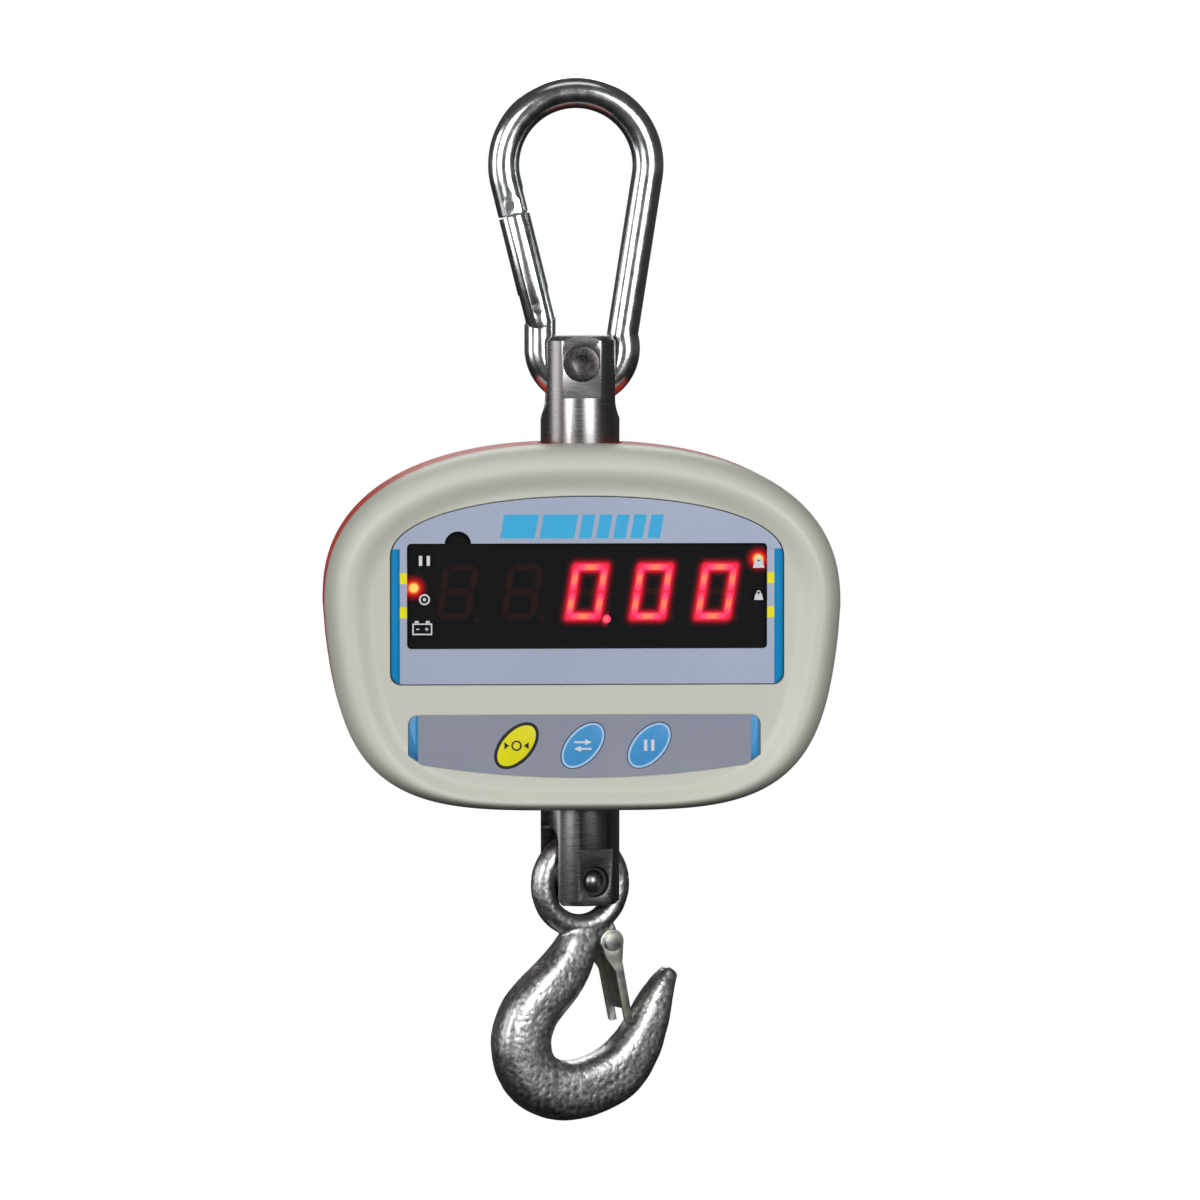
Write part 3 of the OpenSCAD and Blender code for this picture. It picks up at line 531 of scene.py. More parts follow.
# Finish of every CAD node that is shown as it is
FINISHES = {
    "zinc_steel": ["gate_nose_pin", "gate_tube", "gate_rivet"],
    "turned_steel": ["upper_fork", "lower_fork"],
    "black_steel": ["upper_pin", "split_pin"],
    "bearing_steel": ["bearing_balls", "lower_race", "upper_race", "hook_pin_sleeve"],
    "spring_steel": ["gate_spring", "gate_plunger", "latch_spring", "hook_pin"],
    "yellow_zinc": [
        "safety_latch", "latch_rivet", "upper_pin_nut", "hook_pin_nut", "upper_lock_nut", "swivel_nut",
    ],
    "cell_alloy": [
        "load_cell", "swivel_cap", "swivel_cup", "chassis_plate", "chassis_screws", "housing_screws",
    ],
    "gauge_foil": ["strain_gauges"],
    "black_rubber": ["housing_gasket", "top_grommet", "bottom_grommet", "battery_strap"],
    "label_film": ["display_label"],
    "dark_window": ["display_window"],
    "keypad_film": ["keypad_overlay"],
    "yellow_film": ["key_zero"],
    "blue_film": ["key_unit", "key_hold"],
    "circuit_board": ["key_board", "display_board", "main_board"],
    "black_plastic": ["tact_switches", "led_digits", "ir_receiver", "board_components", "charge_socket"],
    "led_red": ["indicator_leds"],
    "cable_grey": ["load_cell_cable", "ribbon_cable"],
    "battery_wrap": ["battery_pack"],
    "lead_red": ["battery_lead"],
    "plate_silver": ["rating_plate"],
}
# Width of the softened edges on machined, pressed and moulded nodes
EDGE_WIDTHS = {
    "upper_fork": 0.3, "lower_fork": 0.3, "upper_pin": 0.25, "upper_pin_nut": 0.3, "hook_pin_nut": 0.3,
    "gate_tube": 0.25, "gate_rivet": 0.2, "safety_latch": 0.2, "latch_rivet": 0.2,
    "key_zero": 0.25, "key_unit": 0.25, "key_hold": 0.25, "rating_plate": 0.1, "charge_socket": 0.2,
}


def finish_cad_nodes():
    """Gives the CAD nodes their finishes, softened edges and smooth round faces."""
    for look, names in FINISHES.items():
        for name in names:
            obj = frame["nodes"][name]
            obj.data.materials.clear()
            obj.data.materials.append(LOOKS[look])
            weld = obj.modifiers.new("weld", "WELD")
            weld.merge_threshold = WELD_GAP * MM
            if name in EDGE_WIDTHS:
                bevel = obj.modifiers.new("edges", "BEVEL")
                bevel.width = EDGE_WIDTHS[name] * MM
                bevel.segments = 3
                bevel.limit_method = "ANGLE"
                bevel.angle_limit = math.radians(40)
            split = obj.modifiers.new("split", "EDGE_SPLIT")
            split.split_angle = math.radians(30)
            for face in obj.data.polygons:
                face.use_smooth = True


def place(obj, look, body, slot, *replaced):
    """Gives a piece its finish and its body, and hides the CAD nodes that it stands for; slot is not used.
    """
    obj.data.materials.clear()
    obj.data.materials.append(LOOKS[look])
    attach(obj, body)
    if replaced:
        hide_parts(*replaced)
    return obj


# ---------- housing ----------

def outline(size, y, count=256):
    """One ring of the housing's outline at depth y."""
    ring = []
    for i in range(count):
        angle = 360 * i / count
        upper = angle < 180
        across, up = superellipse(angle, POWER_TOP if upper else POWER_BOTTOM)
        down = max(0, -up)
        across *= 1 - SIDE_TAPER * down * down / (down + TAPER_EASE)
        ring.append((size.x * across, y, WIDEST_Z + (size.y if upper else size.z) * up))
    return ring


def rounded_over(start, stop, y0, depth, steps):
    """Rings that round over from one outline towards another."""
    angles = [math.pi / 2 * i / steps for i in range(steps + 1)]
    return [outline(start + (stop - start) * (1 - math.cos(a)), y0 + depth * math.sin(a)) for a in angles]


def arch_shape(grow=0.0):
    """Outline of the label: an arch on two round corners."""
    half = LABEL_HALF + grow
    low = label_low.z - grow
    rise = label_high.z + grow - LABEL_SIDE_TOP
    tops = [superellipse(180 * i / 80, LABEL_POWER) for i in range(81)]
    points = [(half * u, LABEL_SIDE_TOP + rise * v) for u, v in tops]
    r = LABEL_CORNER_R
    points += arc(r - half, low + r, r, 180, 270, 8) + arc(half - r, low + r, r, 270, 360, 8)
    return [(LABEL_X + x, z) for x, z in points]


def window_frame_shape(grow=0.0):
    """Outline of the window, without its dome."""
    half = WINDOW_HALF + grow
    top, low, r = WINDOW_TOP + grow, window_low.z - grow, WINDOW_CORNER_R
    points = arc(half - r, top - r, r, 0, 90, 6) + arc(r - half, top - r, r, 90, 180, 6)
    points += arc(r - half, low + r, r, 180, 270, 6) + arc(half - r, low + r, r, 270, 360, 6)
    return [(LABEL_X + x, z) for x, z in points]


def keypad_shape(grow=0.0):
    """Outline of the keypad: straight above, and a shallow bow below."""
    half, r = pad_high.x + grow, PAD_CORNER_R
    top, low = pad_high.z + grow, pad_low.z - grow
    sag = PAD_SIDE_BOTTOM - pad_low.z
    points = arc(half - r, top - r, r, 0, 90, 8) + arc(r - half, top - r, r, 90, 180, 8)
    points.append((-half, PAD_SIDE_BOTTOM + r))
    points += [(x / 16 * (half - 5), low + sag * (x / 16) ** 2) for x in range(-16, 17)]
    points.append((half, PAD_SIDE_BOTTOM + r))
    return points


def oval(centre, grow=0.0):
    """A key's tilted oval."""
    points = []
    for u, v in circle(0, 0, 1, 64):
        x, z = turn((KEY_LONG + grow) * u, (KEY_SHORT + grow) * v, KEY_TILT)
        points.append((centre.x + x, centre.z + z))
    return points


KEYS = {name: centre_mm(name) for name in ("key_zero", "key_unit", "key_hold")}


def front_shell():
    """The bezel: a raised rim round a flat face, recessed for the films and open for window and keys."""
    thin = Vector((WALL, WALL, WALL))
    inside = rounded_over(EDGE - thin, CREST - thin, SHOULDER_Y, FACE_Y + WALL - SHOULDER_Y, 8)
    outside = rounded_over(EDGE, CREST, SHOULDER_Y, CREST_Y - SHOULDER_Y, 20)
    cove = []
    for i in range(1, COVE_STEPS + 1):
        t = i / COVE_STEPS
        cove.append(outline(CREST + (FACE - CREST) * t, CREST_Y + (FACE_Y - CREST_Y) * smooth_step(t)))
    back = bezel_high.y
    rings = inside[::-1] + [outline(EDGE - thin, back), outline(EDGE, back)] + outside + cove
    obj = Shape().loft(rings).object("front_shell")
    combine(obj, Shape().prism(arch_shape(RECESS_GAP), CREST_Y, FACE_Y + LABEL_DEEP).object("cut"))
    combine(obj, Shape().prism(keypad_shape(RECESS_GAP), CREST_Y, FACE_Y + LABEL_DEEP).object("cut"))
    holes = Shape().prism(window_frame_shape(0.1), CREST_Y, FACE_Y + 2 * WALL)
    for centre in KEYS.values():
        holes.prism(oval(centre, KEY_GAP), CREST_Y, FACE_Y + 2 * WALL)
    combine(obj, holes.object("cut"))
    dome = [(DOME_R + 0.1, CREST_Y), (DOME_R + 0.1, FACE_Y + 2 * WALL)]
    combine(obj, Shape().rod(LABEL_X + DOME_X, WINDOW_TOP - 0.3, dome).object("cut"))
    reshade(obj)
    return place(obj, "beige_abs", "scale", "beige_abs", "front_bezel")


def stepped(narrow, wide, start, step, stop):
    """Profile of a round hole that widens at a step."""
    return [(narrow, start), (narrow, step), (wide, step), (wide, stop)]


def rear_shell():
    """The cover, with screw bosses inside and holes for screws, socket, rating plate and fork seals."""
    thin = Vector((WALL, WALL, WALL))
    corner = Vector((BACK_ROUND, BACK_ROUND, BACK_ROUND))
    shoulder = cover_high.y - BACK_ROUND
    inside = rounded_over(EDGE - thin, EDGE - corner, shoulder, BACK_ROUND - WALL, 8)
    outside = rounded_over(EDGE, EDGE - corner, shoulder, BACK_ROUND, 16)
    front = cover_low.y
    rings = inside[::-1] + [outline(EDGE - thin, front), outline(EDGE, front)] + outside
    obj = Shape().loft(rings).object("rear_shell")
    bosses = Shape()
    for x, z, end in SCREW_SPOTS:
        bosses.rod(x, z, [(BOSS_R, front + 0.1), (BOSS_R, end)])
    combine(obj, bosses.object("bosses"), "UNION")
    cuts = Shape()
    beyond = cover_high.y + 1
    for x, z, _ in SCREW_SPOTS:
        cuts.rod(x, z, stepped(SCREW_R, SCREW_HEAD_R, front - 1, SCREW_HEAD_Y, beyond))
    cuts.rod(SOCKET.x, SOCKET.z, stepped(SOCKET_HOLE_R, SOCKET_RIM_R, 20, SOCKET_RIM_Y, beyond))
    plate_low, plate_high = box_mm("rating_plate")
    cuts.block((plate_low.x - 0.2, cover_high.y - LABEL_DEEP, plate_low.z - 0.2),
               (plate_high.x + 0.2, beyond, plate_high.z + 0.2))
    for z in (cover_high.z, cover_low.z):
        ring = circle(0, 0, SEAL_R, 96)
        cuts.loft([[(x, y, z + dz) for x, y in ring] for dz in (-SEAL_DEEP, SEAL_DEEP)])
    combine(obj, cuts.object("cut"))
    reshade(obj)
    return place(obj, "red_abs", "scale", "red_abs", "rear_cover")


# ---------- label and keypad prints ----------

def strip_of(name, node, low, high, look, slot):
    """The part of a flat CAD film that lies in a box, printed on that film."""
    source = frame["nodes"][node]
    obj = bpy.data.objects.new(name, source.data.copy())
    bpy.context.scene.collection.objects.link(obj)
    weld = obj.modifiers.new("weld", "WELD")
    weld.merge_threshold = WELD_GAP * MM
    apply_modifiers(obj)
    combine(obj, Shape().block(low, high).object("window"), "INTERSECT")
    for vert in obj.data.vertices:
        vert.co.y -= FRONT * MM
    return place(obj, look, "scale", slot)


def film_prints():
    """The blue end strips of both films, the label's marks and row of bars, and a painted shade line round
    the label's edge.
    """
    inner = LABEL_HALF - STRIP_W
    for side, word in ((-1, "left"), (1, "right")):
        xs = sorted((LABEL_X + side * inner, LABEL_X + side * (LABEL_HALF + 1)))
        strip_of(f"label_strip_{word}", "display_label", (xs[0], FACE_Y - 1, label_low.z - 1),
                 (xs[1], FACE_Y + 2, LABEL_SIDE_TOP + 3), "print_blue", "label_film")
        xs = sorted((side * (pad_high.x - STRIP_W), side * (pad_high.x + 1)))
        strip_of(f"keypad_strip_{word}", "keypad_overlay", (xs[0], FACE_Y - 1, pad_low.z - 1),
                 (xs[1], FACE_Y + 2, pad_high.z + 1), "blue_film", "keypad_film")
    front = label_low.y
    marks = Shape()
    for side in (-1, 1):
        xs = sorted((LABEL_X + side * (WINDOW_HALF + 0.1), LABEL_X + side * inner))
        for z in MARK_ROWS:
            marks.block((xs[0], front - FRONT, z - MARK_HALF_H), (xs[1], front + FRONT, z + MARK_HALF_H))
    place(marks.object("label_marks"), "print_yellow", "scale", "label_film")
    # Painted shade: a black line round the label's edge stands in for the shadow in its recess gap.
    edge = Shape()
    ring_print(edge, arch_shape(0.1), arch_shape(-0.2), front - FRONT)
    place(edge.object("label_edge_painted_shade"), "black_print_and_painted_shade", "scale", "label_film")
    bars = Shape()
    shear = (BAR_HIGH - BAR_LOW) * math.tan(math.radians(BAR_LEAN))
    x = BAR_X
    for width in BAR_WIDTHS:
        low_side = [(x, BAR_LOW), (x + width, BAR_LOW)]
        high_side = [(x + width + shear, BAR_HIGH), (x + shear, BAR_HIGH)]
        bars.prism(low_side + high_side, front - FRONT, front + FRONT)
        x += width + BAR_GAP
    place(bars.object("label_bars"), "print_cyan", "scale", "label_film")


def ring_print(shape, outer, inner, y):
    """Flat ring between two outlines that have the same number of points."""
    loops = [(outer, y - FRONT), (inner, y - FRONT), (inner, y + FRONT), (outer, y + FRONT)]
    shape.loft([[(x, depth, z) for x, z in loop] for loop, depth in loops], closed=True)


def key_prints():
    """Each key's rim and sign: a zero between two pointers, two arrows, and two bars."""
    y = box_mm("key_zero")[0].y
    back, front = y + FRONT, y - FRONT
    for name, centre in KEYS.items():
        zero = name == "key_zero"
        rim = Shape()
        ring_print(rim, oval(centre, 0.02), oval(centre, -KEY_RIM_W), y)
        body = name + "_button"
        slot = "yellow_film" if zero else "blue_film"
        place(rim.object(name + "_rim"), "black_print_and_painted_shade" if zero else "print_pale_blue", body, slot)
        sign = Shape()
        x, z = centre.x, centre.z
        if zero:
            ring_print(sign, circle(x, z, 1.9, 32), circle(x, z, 1.3, 32), y)
            for side in (-1, 1):
                pointer = [(2.6, 0), (4.4, 1.3), (4.4, -1.3)]
                sign.prism([(x + side * u, z + v) for u, v in pointer], front, back)
        elif name == "key_unit":
            for side in (-1, 1):
                row = z + side * 1.2
                upper = [(3.2, 0), (0.8, 1.1), (0.8, 0.35), (-3.2, 0.35)]
                lower = [(-3.2, -0.35), (0.8, -0.35), (0.8, -1.1)]
                sign.prism([(x + side * u, row + side * v) for u, v in lower + upper], front, back)
        else:
            for side in (-1, 1):
                middle = x + side * 1.3
                sign.block((middle - 0.6, front, z - 2), (middle + 0.6, back, z + 2))
        place(sign.object(name + "_sign"), "black_print_and_painted_shade" if zero else "print_white", body, slot)


# ---------- display ----------

SEGMENTS = {
    "top": ((-1, 1), (1, 1)), "upper_right": ((1, 1), (1, 0)), "lower_right": ((1, 0), (1, -1)),
    "bottom": ((-1, -1), (1, -1)), "lower_left": ((-1, -1), (-1, 0)), "upper_left": ((-1, 0), (-1, 1)),
    "middle": ((-1, 0), (1, 0)),
}
DIGITS = (-2, -1, 0, 1, 2)
LIT_DIGITS = (0, 1, 2)
LIT_NAMES = [name for name in SEGMENTS if name != "middle"]
MASK_Y = digits_low.y - 0.12
LIT_BACK = MASK_Y - 0.16
LIT_FRONT = MASK_Y - 0.28
POINT = (8.7, -9.9)  # decimal point, from its digit's centre before the lean
POINT_R = 1.5
SEGMENT_GAP = 0.25
HALO_HALF = (9.6, 13)
HALO_PITCH = 0.4
HALO_FADE = 1.7


def digit_point(digit, u, v):
    """A point of a leaning digit, on the label."""
    return LABEL_X + digit * DIGIT_PITCH + u + v * math.tan(math.radians(DIGIT_LEAN)), DIGIT_Z + v


def segment_line(name):
    """Both ends of a bar, from its digit's centre before the lean."""
    (u0, v0), (u1, v1) = SEGMENTS[name]
    return Vector((u0 * DIGIT_W / 2, v0 * DIGIT_H / 2)), Vector((u1 * DIGIT_W / 2, v1 * DIGIT_H / 2))


def add_segment(shape, digit, name, stroke, y0, y1):
    """One bar of a digit with pointed ends, painted from 0 at its ends to 1 half way."""
    start, stop = segment_line(name)
    along = (stop - start).normalized()
    over = Vector((-along.y, along.x))
    length = (stop - start).length
    rings, paint = [], []
    for i in range(13):
        t = SEGMENT_GAP + (length - 2 * SEGMENT_GAP) * i / 12
        end = min(t, length - t) - SEGMENT_GAP
        half = max(0.05, min(stroke / 2, end + 0.05))
        middle = start + along * t
        corners = [middle + over * half, middle - over * half]
        (ax, az), (bx, bz) = [digit_point(digit, c.x, c.y) for c in corners]
        rings.append([(ax, y0, az), (bx, y0, bz), (bx, y1, bz), (ax, y1, az)])
        paint.append(math.sin(math.pi * i / 12) ** 1.5)
    shape.loft(rings, paint)


def distance_to_segment(p, a, b):
    t = max(0, min(1, (p - a).dot(b - a) / (b - a).length_squared))
    return (p - a - (b - a) * t).length


def digit_halo():
    """A sheet of scattered light behind the lit digits; its paint is the light's cover."""
    lines = [segment_line(name) for name in LIT_NAMES]
    half_u, half_v = HALO_HALF
    columns, rows = int(2 * half_u / HALO_PITCH), int(2 * half_v / HALO_PITCH)
    shape = Shape()
    for digit in LIT_DIGITS:
        grid = []
        for j in range(rows + 1):
            row = []
            for i in range(columns + 1):
                p = Vector((-half_u + i * HALO_PITCH, -half_v + j * HALO_PITCH))
                reach = min(distance_to_segment(p, a, b) for a, b in lines)
                if digit == LIT_DIGITS[0]:
                    reach = min(reach, (p - Vector(POINT)).length + 0.2)
                x, z = digit_point(digit, *p)
                vert = shape.mesh.verts.new((x, MASK_Y - 0.1, z))
                vert[shape.paint] = min(1, 1.6 * math.exp(-(reach / HALO_FADE) ** 2))
                row.append(vert)
            grid.append(row)
        for low, high in zip(grid, grid[1:]):
            for i in range(columns):
                corner = (low[i], low[i + 1], high[i + 1], high[i])
                if max(v[shape.paint] for v in corner) > 0.01:
                    shape.mesh.faces.new(corner)
    unused = [v for v in shape.mesh.verts if not v.link_faces]
    bmesh.ops.delete(shape.mesh, geom=unused, context="VERTS")
    return place(shape.object("digit_halo"), "lit_halo", "scale", "led_red")


def digits():
    """A black mask over the digit modules, with dark bars, lit bars and their halo on it."""
    mask_low = (LABEL_X - WINDOW_HALF, MASK_Y, window_low.z)
    mask_high = (LABEL_X + WINDOW_HALF, MASK_Y + 0.1, WINDOW_TOP + 1)
    mask = Shape().block(mask_low, mask_high)
    place(mask.object("display_mask"), "display_mask", "scale", "black_plastic")
    dark, bright = Shape(), Shape()
    for digit in DIGITS:
        for name in SEGMENTS:
            if digit in LIT_DIGITS and name in LIT_NAMES:
                add_segment(bright, digit, name, LIT_STROKE, LIT_FRONT, LIT_BACK)
            else:
                add_segment(dark, digit, name, STROKE, MASK_Y - 0.05, MASK_Y)
        if digit != LIT_DIGITS[0]:
            dark.rod(*digit_point(digit, *POINT), [(1.1, MASK_Y - 0.05), (1.1, MASK_Y)], 24)
    x, z = digit_point(LIT_DIGITS[0], *POINT)
    rings = []
    for r in (POINT_R, 1, 0.5, 0.1):
        y = LIT_BACK - 0.12 * (1 - r / 1.3)
        rings.append([(px, y, pz) for px, pz in circle(x, z, r, 24)])
    bright.loft(rings, [0, 0.5, 0.9, 1])
    place(dark.object("dark_segments"), "dark_segment", "scale", "led_red")
    place(bright.object("lit_segments"), "lit_segment", "scale", "led_red")
    digit_halo()


LAMPS = [(LABEL_X - 62.6, -173.1), (LABEL_X + 62, -162.9)]
HOLD_SIGN = (-57.8, -163.2)
STEADY_SIGN = (-57.8, -177.2)
BATTERY_SIGN = (-58.6, -187.9)
WEIGHT_SIGNS = [((63, -164), 1.0), ((63, -176), 0.8)]


def lamp_glows():
    """Glow in front of the two lit indicator lamps, brightest at its middle."""
    y = MASK_Y - 0.2
    steps = 26
    radii = [LAMP_R * (1 - i / steps) for i in range(steps)] + [0.05]
    cover = [max(0, 1.3 * math.exp(-(r / 3) ** 2) - 0.06) for r in radii]
    shape = Shape()
    for x, z in LAMPS:
        rings = []
        for r in radii:
            rings.append([(px, y - 0.1 * (1 - r / LAMP_R), pz) for px, pz in circle(x, z, r, 32)])
        shape.loft(rings, [min(1, c) for c in cover])
    backs = [face for face in shape.mesh.faces if len(face.verts) > 4 and face.calc_area() > LAMP_R ** 2 / 2]
    bmesh.ops.delete(shape.mesh, geom=backs, context="FACES_ONLY")
    place(shape.object("lamp_glows"), "lit_lamp", "scale", "led_red")


def window_signs():
    """Pictograms printed on the window: hold, steady, battery and two weights."""
    y = window_low.y
    back = y + FRONT
    front = y - FRONT
    shape = Shape()

    def patch(x, z, half_w, half_h):
        shape.block((x - half_w, front, z - half_h), (x + half_w, back, z + half_h))

    x, z = HOLD_SIGN
    for side in (-1, 1):
        patch(x + side * 1.4, z, 0.6, 1.8)
    x, z = STEADY_SIGN
    ring_print(shape, circle(x, z, 2, 32), circle(x, z, 1.4, 32), y)
    shape.rod(x, z, [(0.6, front), (0.6, back)], 24)
    x, z = BATTERY_SIGN
    boxes = []
    for w, h in ((3.6, 2.1), (3.1, 1.6)):
        boxes.append([(x + sx * w, z + sz * h) for sx, sz in ((1, 1), (-1, 1), (-1, -1), (1, -1))])
    ring_print(shape, *boxes, y)
    for side in (-1, 1):
        patch(x + side * 2, z + 2.6, 0.7, 0.4)
        patch(x + side * 1.6, z, 0.6, 0.2)
    patch(x + 1.6, z, 0.2, 0.6)
    for (x, z), size in WEIGHT_SIGNS:
        body = [(-2.1, -2), (2.1, -2), (1.4, 0.9), (-1.4, 0.9)]
        shape.prism([(x + size * u, z + size * v) for u, v in body], front, back)
        handle = [circle(x, z + size * 1.4, size * r, 24) for r in (0.95, 0.5)]
        ring_print(shape, *handle, y)
    place(shape.object("window_signs"), "print_white", "scale", "dark_window")


# ---------- snap hook ----------

def gate_side(across, down):
    """A point beside the straight gate side, from across it and down it."""
    x, z = turn(across, -down, LEFT_SLOPE)
    start = on_circle(*BOW, BOW_R, 180 + LEFT_SLOPE)
    return start[0] + x, start[1] + z


def bar_path():
    """Middle of the bent bar, from its nose over the bow, down the leg and round the loop."""
    straight = [gate_side(0, NOSE_DOWN * (1 - i / 8)) for i in range(8)]
    straight.insert(1, gate_side(0, NOSE_DOWN - 0.5))
    bow = arc(*BOW, BOW_R, 180 + LEFT_SLOPE, -RIGHT_SLOPE, 96)
    top, foot = bow[-1], on_circle(*LOOP, LOOP_R, LOOP_END)
    leg = []
    for i in range(1, 24):
        t = i / 24
        leg.append((top[0] + (foot[0] - top[0]) * t, top[1] + (foot[1] - top[1]) * t))
    loop = arc(*LOOP, LOOP_R, LOOP_END, -180, 72)
    x, z = loop[-1]
    rise = gate_side(0, RIVET_DOWN)[1] - 3 - LOOP[1]
    stub = [(x, z + rise * i / 10) for i in range(1, 11)]
    return straight + bow + leg + loop + stub


def snap_hook():
    """The bar, with a slot and two flats at its nose and a tongue for the gate's rivet at its end."""
    path = bar_path()
    radii = [BAR_R - 0.5] + [BAR_R] * (len(path) - 1)
    obj = Shape().loft(bar_rings(path, radii, 56)).object("snap_hook_bar")
    rivet = gate_side(0, RIVET_DOWN)
    reach = 2 * BAR_R
    combine(obj, Shape().rod(*rivet, [(GATE_EAR_R, -reach), (GATE_EAR_R, reach)], 96).object("cut"))
    low, high = NOSE_DOWN + 1, NOSE_DOWN - NOSE_SLOT
    slot = [(NOSE_SLOT_SIDE, low), (reach, low), (reach, high), (NOSE_SLOT_SIDE, high)]
    half = TONGUE_HALF + 0.2
    combine(obj, Shape().prism([gate_side(u, d) for u, d in slot], -half, half).object("cut"))
    flat = [(-3, low), (3, low), (3, NOSE_DOWN - 5), (0.4, NOSE_DOWN - 9.8), (-3, NOSE_DOWN - 5)]
    for face in (-1, 1):
        ys = sorted((face * NOSE_FLAT_Y, face * reach))
        combine(obj, Shape().prism([gate_side(u, d) for u, d in flat], *ys).object("cut"))
    tongue = Shape().rod(*rivet, [(TONGUE_R, -TONGUE_HALF), (TONGUE_R, TONGUE_HALF)])
    half_w, half_y = TONGUE_R - 0.2, TONGUE_HALF - 0.05
    tongue.block((rivet[0] - half_w, -half_y, rivet[1] - 9), (rivet[0] + half_w, half_y, rivet[1]))
    combine(obj, tongue.object("tongue"), "UNION")
    reshade(obj)
    return place(obj, "zinc_steel", "carabiner", "zinc_steel", "carabiner_frame")


# ---------- eye hook ----------

def to_hook(x, y, z):
    """A point of the hook, drawn in the X-Z plane about its pin, in its turned place."""
    px, py = turn(x, y, HOOK_TURN)
    return px, py, HOOK_PIN_Z + z


def hook_body_rings():
    """Squarish rings across the hook's body, closed by a rounded tip."""
    stations = catmull_rom(HOOK, 8)
    along = directions([(s[0], s[1]) for s in stations])
    section = [superellipse(360 * k / 48, HOOK_POWER) for k in range(48)]

    def ring(x, z, d, half_w, half_y):
        return [to_hook(x + d[1] * half_w * u, half_y * v, z - d[0] * half_w * u) for u, v in section]

    rings = [ring(s[0], s[1], d, s[2], s[3]) for s, d in zip(stations, along)]
    tip, d = stations[-1], along[-1]
    for angle in (25, 50, 75):
        shrink, ahead = math.cos(math.radians(angle)), TIP_ROUND * math.sin(math.radians(angle))
        rings.append(ring(tip[0] + d[0] * ahead, tip[1] + d[1] * ahead, d, tip[2] * shrink, tip[3] * shrink))
    return rings


def eye_hook():
    """Body, eye and latch lug, joined under one forged skin."""
    shape = Shape()
    shape.loft(hook_body_rings())
    section = circle(EYE_R, 0, EYE_BAR_R, 32)
    eye = []
    for degrees in range(0, 360, 4):
        a = math.radians(degrees)
        eye.append([to_hook(r * math.cos(a), y, r * math.sin(a) - EYE_DROP) for r, y in section])
    shape.loft(eye, closed=True)
    lug = [(3, -15), (11.5, -14.5), (14.2, -20.5), (13.6, -25.5), (9, -27.6), (2, -27)]
    shape.loft([[to_hook(x, y, z) for x, z in lug] for y in (-LUG_HALF, LUG_HALF)])
    obj = shape.object("eye_hook_forging")
    remesh = obj.modifiers.new("skin", "REMESH")
    remesh.mode = "VOXEL"
    remesh.voxel_size = SKIN_FINE * MM
    soften = obj.modifiers.new("soften", "SMOOTH")
    soften.factor = 0.5
    soften.iterations = 5
    apply_modifiers(obj)
    roughen(obj)
    reshade(obj, 80)
    return place(obj, "forged_zinc", "hook", "forged_zinc", "load_hook")


def roughen(obj):
    """Gives a forging its uneven skin: shallow hollows and scale pits, all inwards."""
    normals = [v.normal.copy() for v in obj.data.vertices]
    for vert, normal in zip(obj.data.vertices, normals):
        p = vert.co / MM
        broad = noise.noise(p * 0.16)
        pits = noise.noise(p * 0.55)
        depth = 0.12 * (1 + broad) + 0.16 * max(0, pits)
        vert.co -= normal * depth * MM
    obj.data.update()


def pin_ring():
    """Dark retaining ring round the pin's domed end, at the bottom of the fork's recess."""
    outer, inner, near, far = 5.45, 4.08, -10.9, -9.7
    edge = 0.3
    profile = [(outer, far), (outer, near + edge), (outer - edge, near)]
    profile += [(inner + edge, near), (inner, near + edge), (inner, far)]
    shape = Shape()
    shape.loft([[to_hook(x, y, z) for x, z in circle(0, 0, r, 48)] for r, y in profile], closed=True)
    return place(shape.object("pin_retaining_ring"), "black_rubber", "lower_fork", "black_steel")


# ---------- stage ----------

AIM = Vector((7.3, 0, -179.2)) * MM
DISTANCE = 3.0
FRAME_WIDTH = 0.438
SENSOR = 36
VIEW_AZIMUTH = -3
VIEW_ELEVATION = 3
ROOM_GLOW = 0.3
FLOOR_GLOW = 0.6
FLOOR_R = 2.6
FLOOR_Z = -1.05


def direction(azimuth, elevation):
    """Unit vector from the scale towards an azimuth, counted from the front, and an elevation."""
    a, e = math.radians(azimuth), math.radians(elevation)
    return Vector((math.sin(a) * math.cos(e), -math.cos(a) * math.cos(e), math.sin(e)))


def camera():
    """A long lens, slightly left of the scale's middle and above it."""
    data = bpy.data.cameras.new("camera")
    data.sensor_width = SENSOR
    data.lens = SENSOR * DISTANCE / FRAME_WIDTH
    obj = bpy.data.objects.new("camera", data)
    bpy.context.scene.collection.objects.link(obj)
    back = direction(VIEW_AZIMUTH, VIEW_ELEVATION)
    obj.location = AIM + back * DISTANCE
    obj.rotation_euler = (-back).to_track_quat("-Z", "Y").to_euler()
    bpy.context.scene.camera = obj


def softbox(name, azimuth, elevation, distance, width, height, power):
    """A rectangular lamp that faces the scale."""
    data = bpy.data.lights.new(name, "AREA")
    data.shape = "RECTANGLE"
    data.size, data.size_y = width, height
    data.energy = power
    obj = bpy.data.objects.new(name, data)
    bpy.context.scene.collection.objects.link(obj)
    back = direction(azimuth, elevation)
    obj.location = AIM + back * distance
    obj.rotation_euler = (-back).to_track_quat("-Z", "Y").to_euler()
    obj.visible_camera = False


def lights():
    """Two large boxes in front, one at the left, and weak ones above and behind."""
    softbox("right_front", 26, 14, 2.0, 0.85, 1.0, 21)
    softbox("left_front", -33, 14, 2.0, 0.8, 1.0, 18)
    softbox("left_side", -78, 10, 1.9, 0.8, 1.3, 8)
    softbox("above", 0, 75, 2.0, 1.2, 0.6, 2)
    softbox("back", 180, 30, 2.4, 1.2, 0.8, 12)


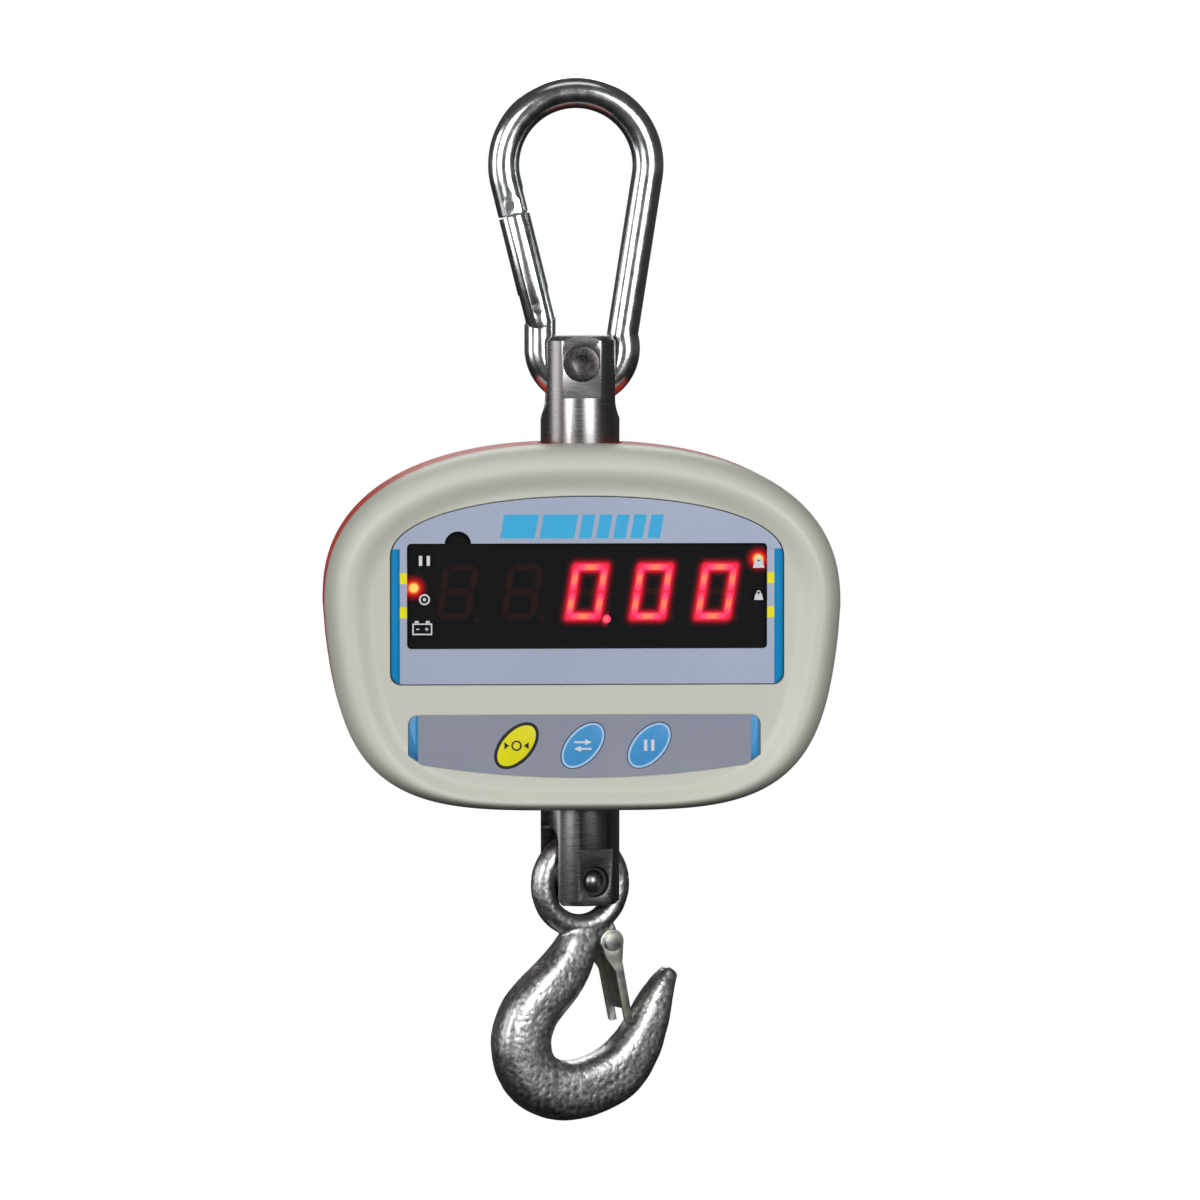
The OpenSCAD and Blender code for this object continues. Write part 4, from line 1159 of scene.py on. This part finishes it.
def world():
    """White to the camera, and a dim grey room to everything else."""
    made = bpy.data.worlds.new("studio")
    made.use_nodes = True
    nodes, links = made.node_tree.nodes, made.node_tree.links
    nodes.clear()
    seen = nodes.new("ShaderNodeBackground")
    seen.inputs["Color"].default_value = (1, 1, 1, 1)
    room = nodes.new("ShaderNodeBackground")
    room.inputs["Strength"].default_value = ROOM_GLOW
    where = nodes.new("ShaderNodeTexCoord")
    split = nodes.new("ShaderNodeSeparateXYZ")
    ramp = nodes.new("ShaderNodeValToRGB")
    stops = [(0, 0.02), (0.4, 0.06), (0.5, 0.25), (0.62, 0.15), (1, 0.2)]  # height from below to above, grey
    while len(ramp.color_ramp.elements) < len(stops):
        ramp.color_ramp.elements.new(0.5)
    for element, (position, grey) in zip(ramp.color_ramp.elements, stops):
        element.position = position
        element.color = (grey, grey, grey, 1)
    shift = nodes.new("ShaderNodeMapRange")
    shift.inputs["From Min"].default_value = -1
    links.new(where.outputs["Generated"], split.inputs[0])
    links.new(split.outputs["Z"], shift.inputs["Value"])
    links.new(shift.outputs["Result"], ramp.inputs["Fac"])
    links.new(ramp.outputs["Color"], room.inputs["Color"])
    mix = nodes.new("ShaderNodeMixShader")
    ray = nodes.new("ShaderNodeLightPath")
    out = nodes.new("ShaderNodeOutputWorld")
    links.new(ray.outputs["Is Camera Ray"], mix.inputs["Fac"])
    links.new(room.outputs[0], mix.inputs[1])
    links.new(seen.outputs[0], mix.inputs[2])
    links.new(mix.outputs[0], out.inputs["Surface"])
    bpy.context.scene.world = made


def floor():
    """A pale round floor, well below the hanging hook."""
    mesh = bmesh.new()
    bmesh.ops.create_circle(mesh, cap_ends=True, segments=96, radius=FLOOR_R)
    data = bpy.data.meshes.new("floor")
    mesh.to_mesh(data)
    mesh.free()
    obj = bpy.data.objects.new("floor", data)
    obj.location.z = FLOOR_Z
    bpy.context.scene.collection.objects.link(obj)
    obj.visible_glossy = False
    obj.visible_diffuse = False
    look = surface("floor", (0.86, 0.86, 0.86), (0.92, 0.92, 0.92), 0.8, patch=3, grain=60)
    shader = look.node_tree.nodes["Principled BSDF"]
    shader.inputs["Emission Color"].default_value = (1, 1, 1, 1)
    shader.inputs["Emission Strength"].default_value = FLOOR_GLOW
    data.materials.append(look)


finish_cad_nodes()
front_shell()
rear_shell()
film_prints()
key_prints()
digits()
lamp_glows()
window_signs()
snap_hook()
eye_hook()
pin_ring()
camera()
lights()
world()
floor()
bpy.context.scene.view_settings.view_transform = "Standard"
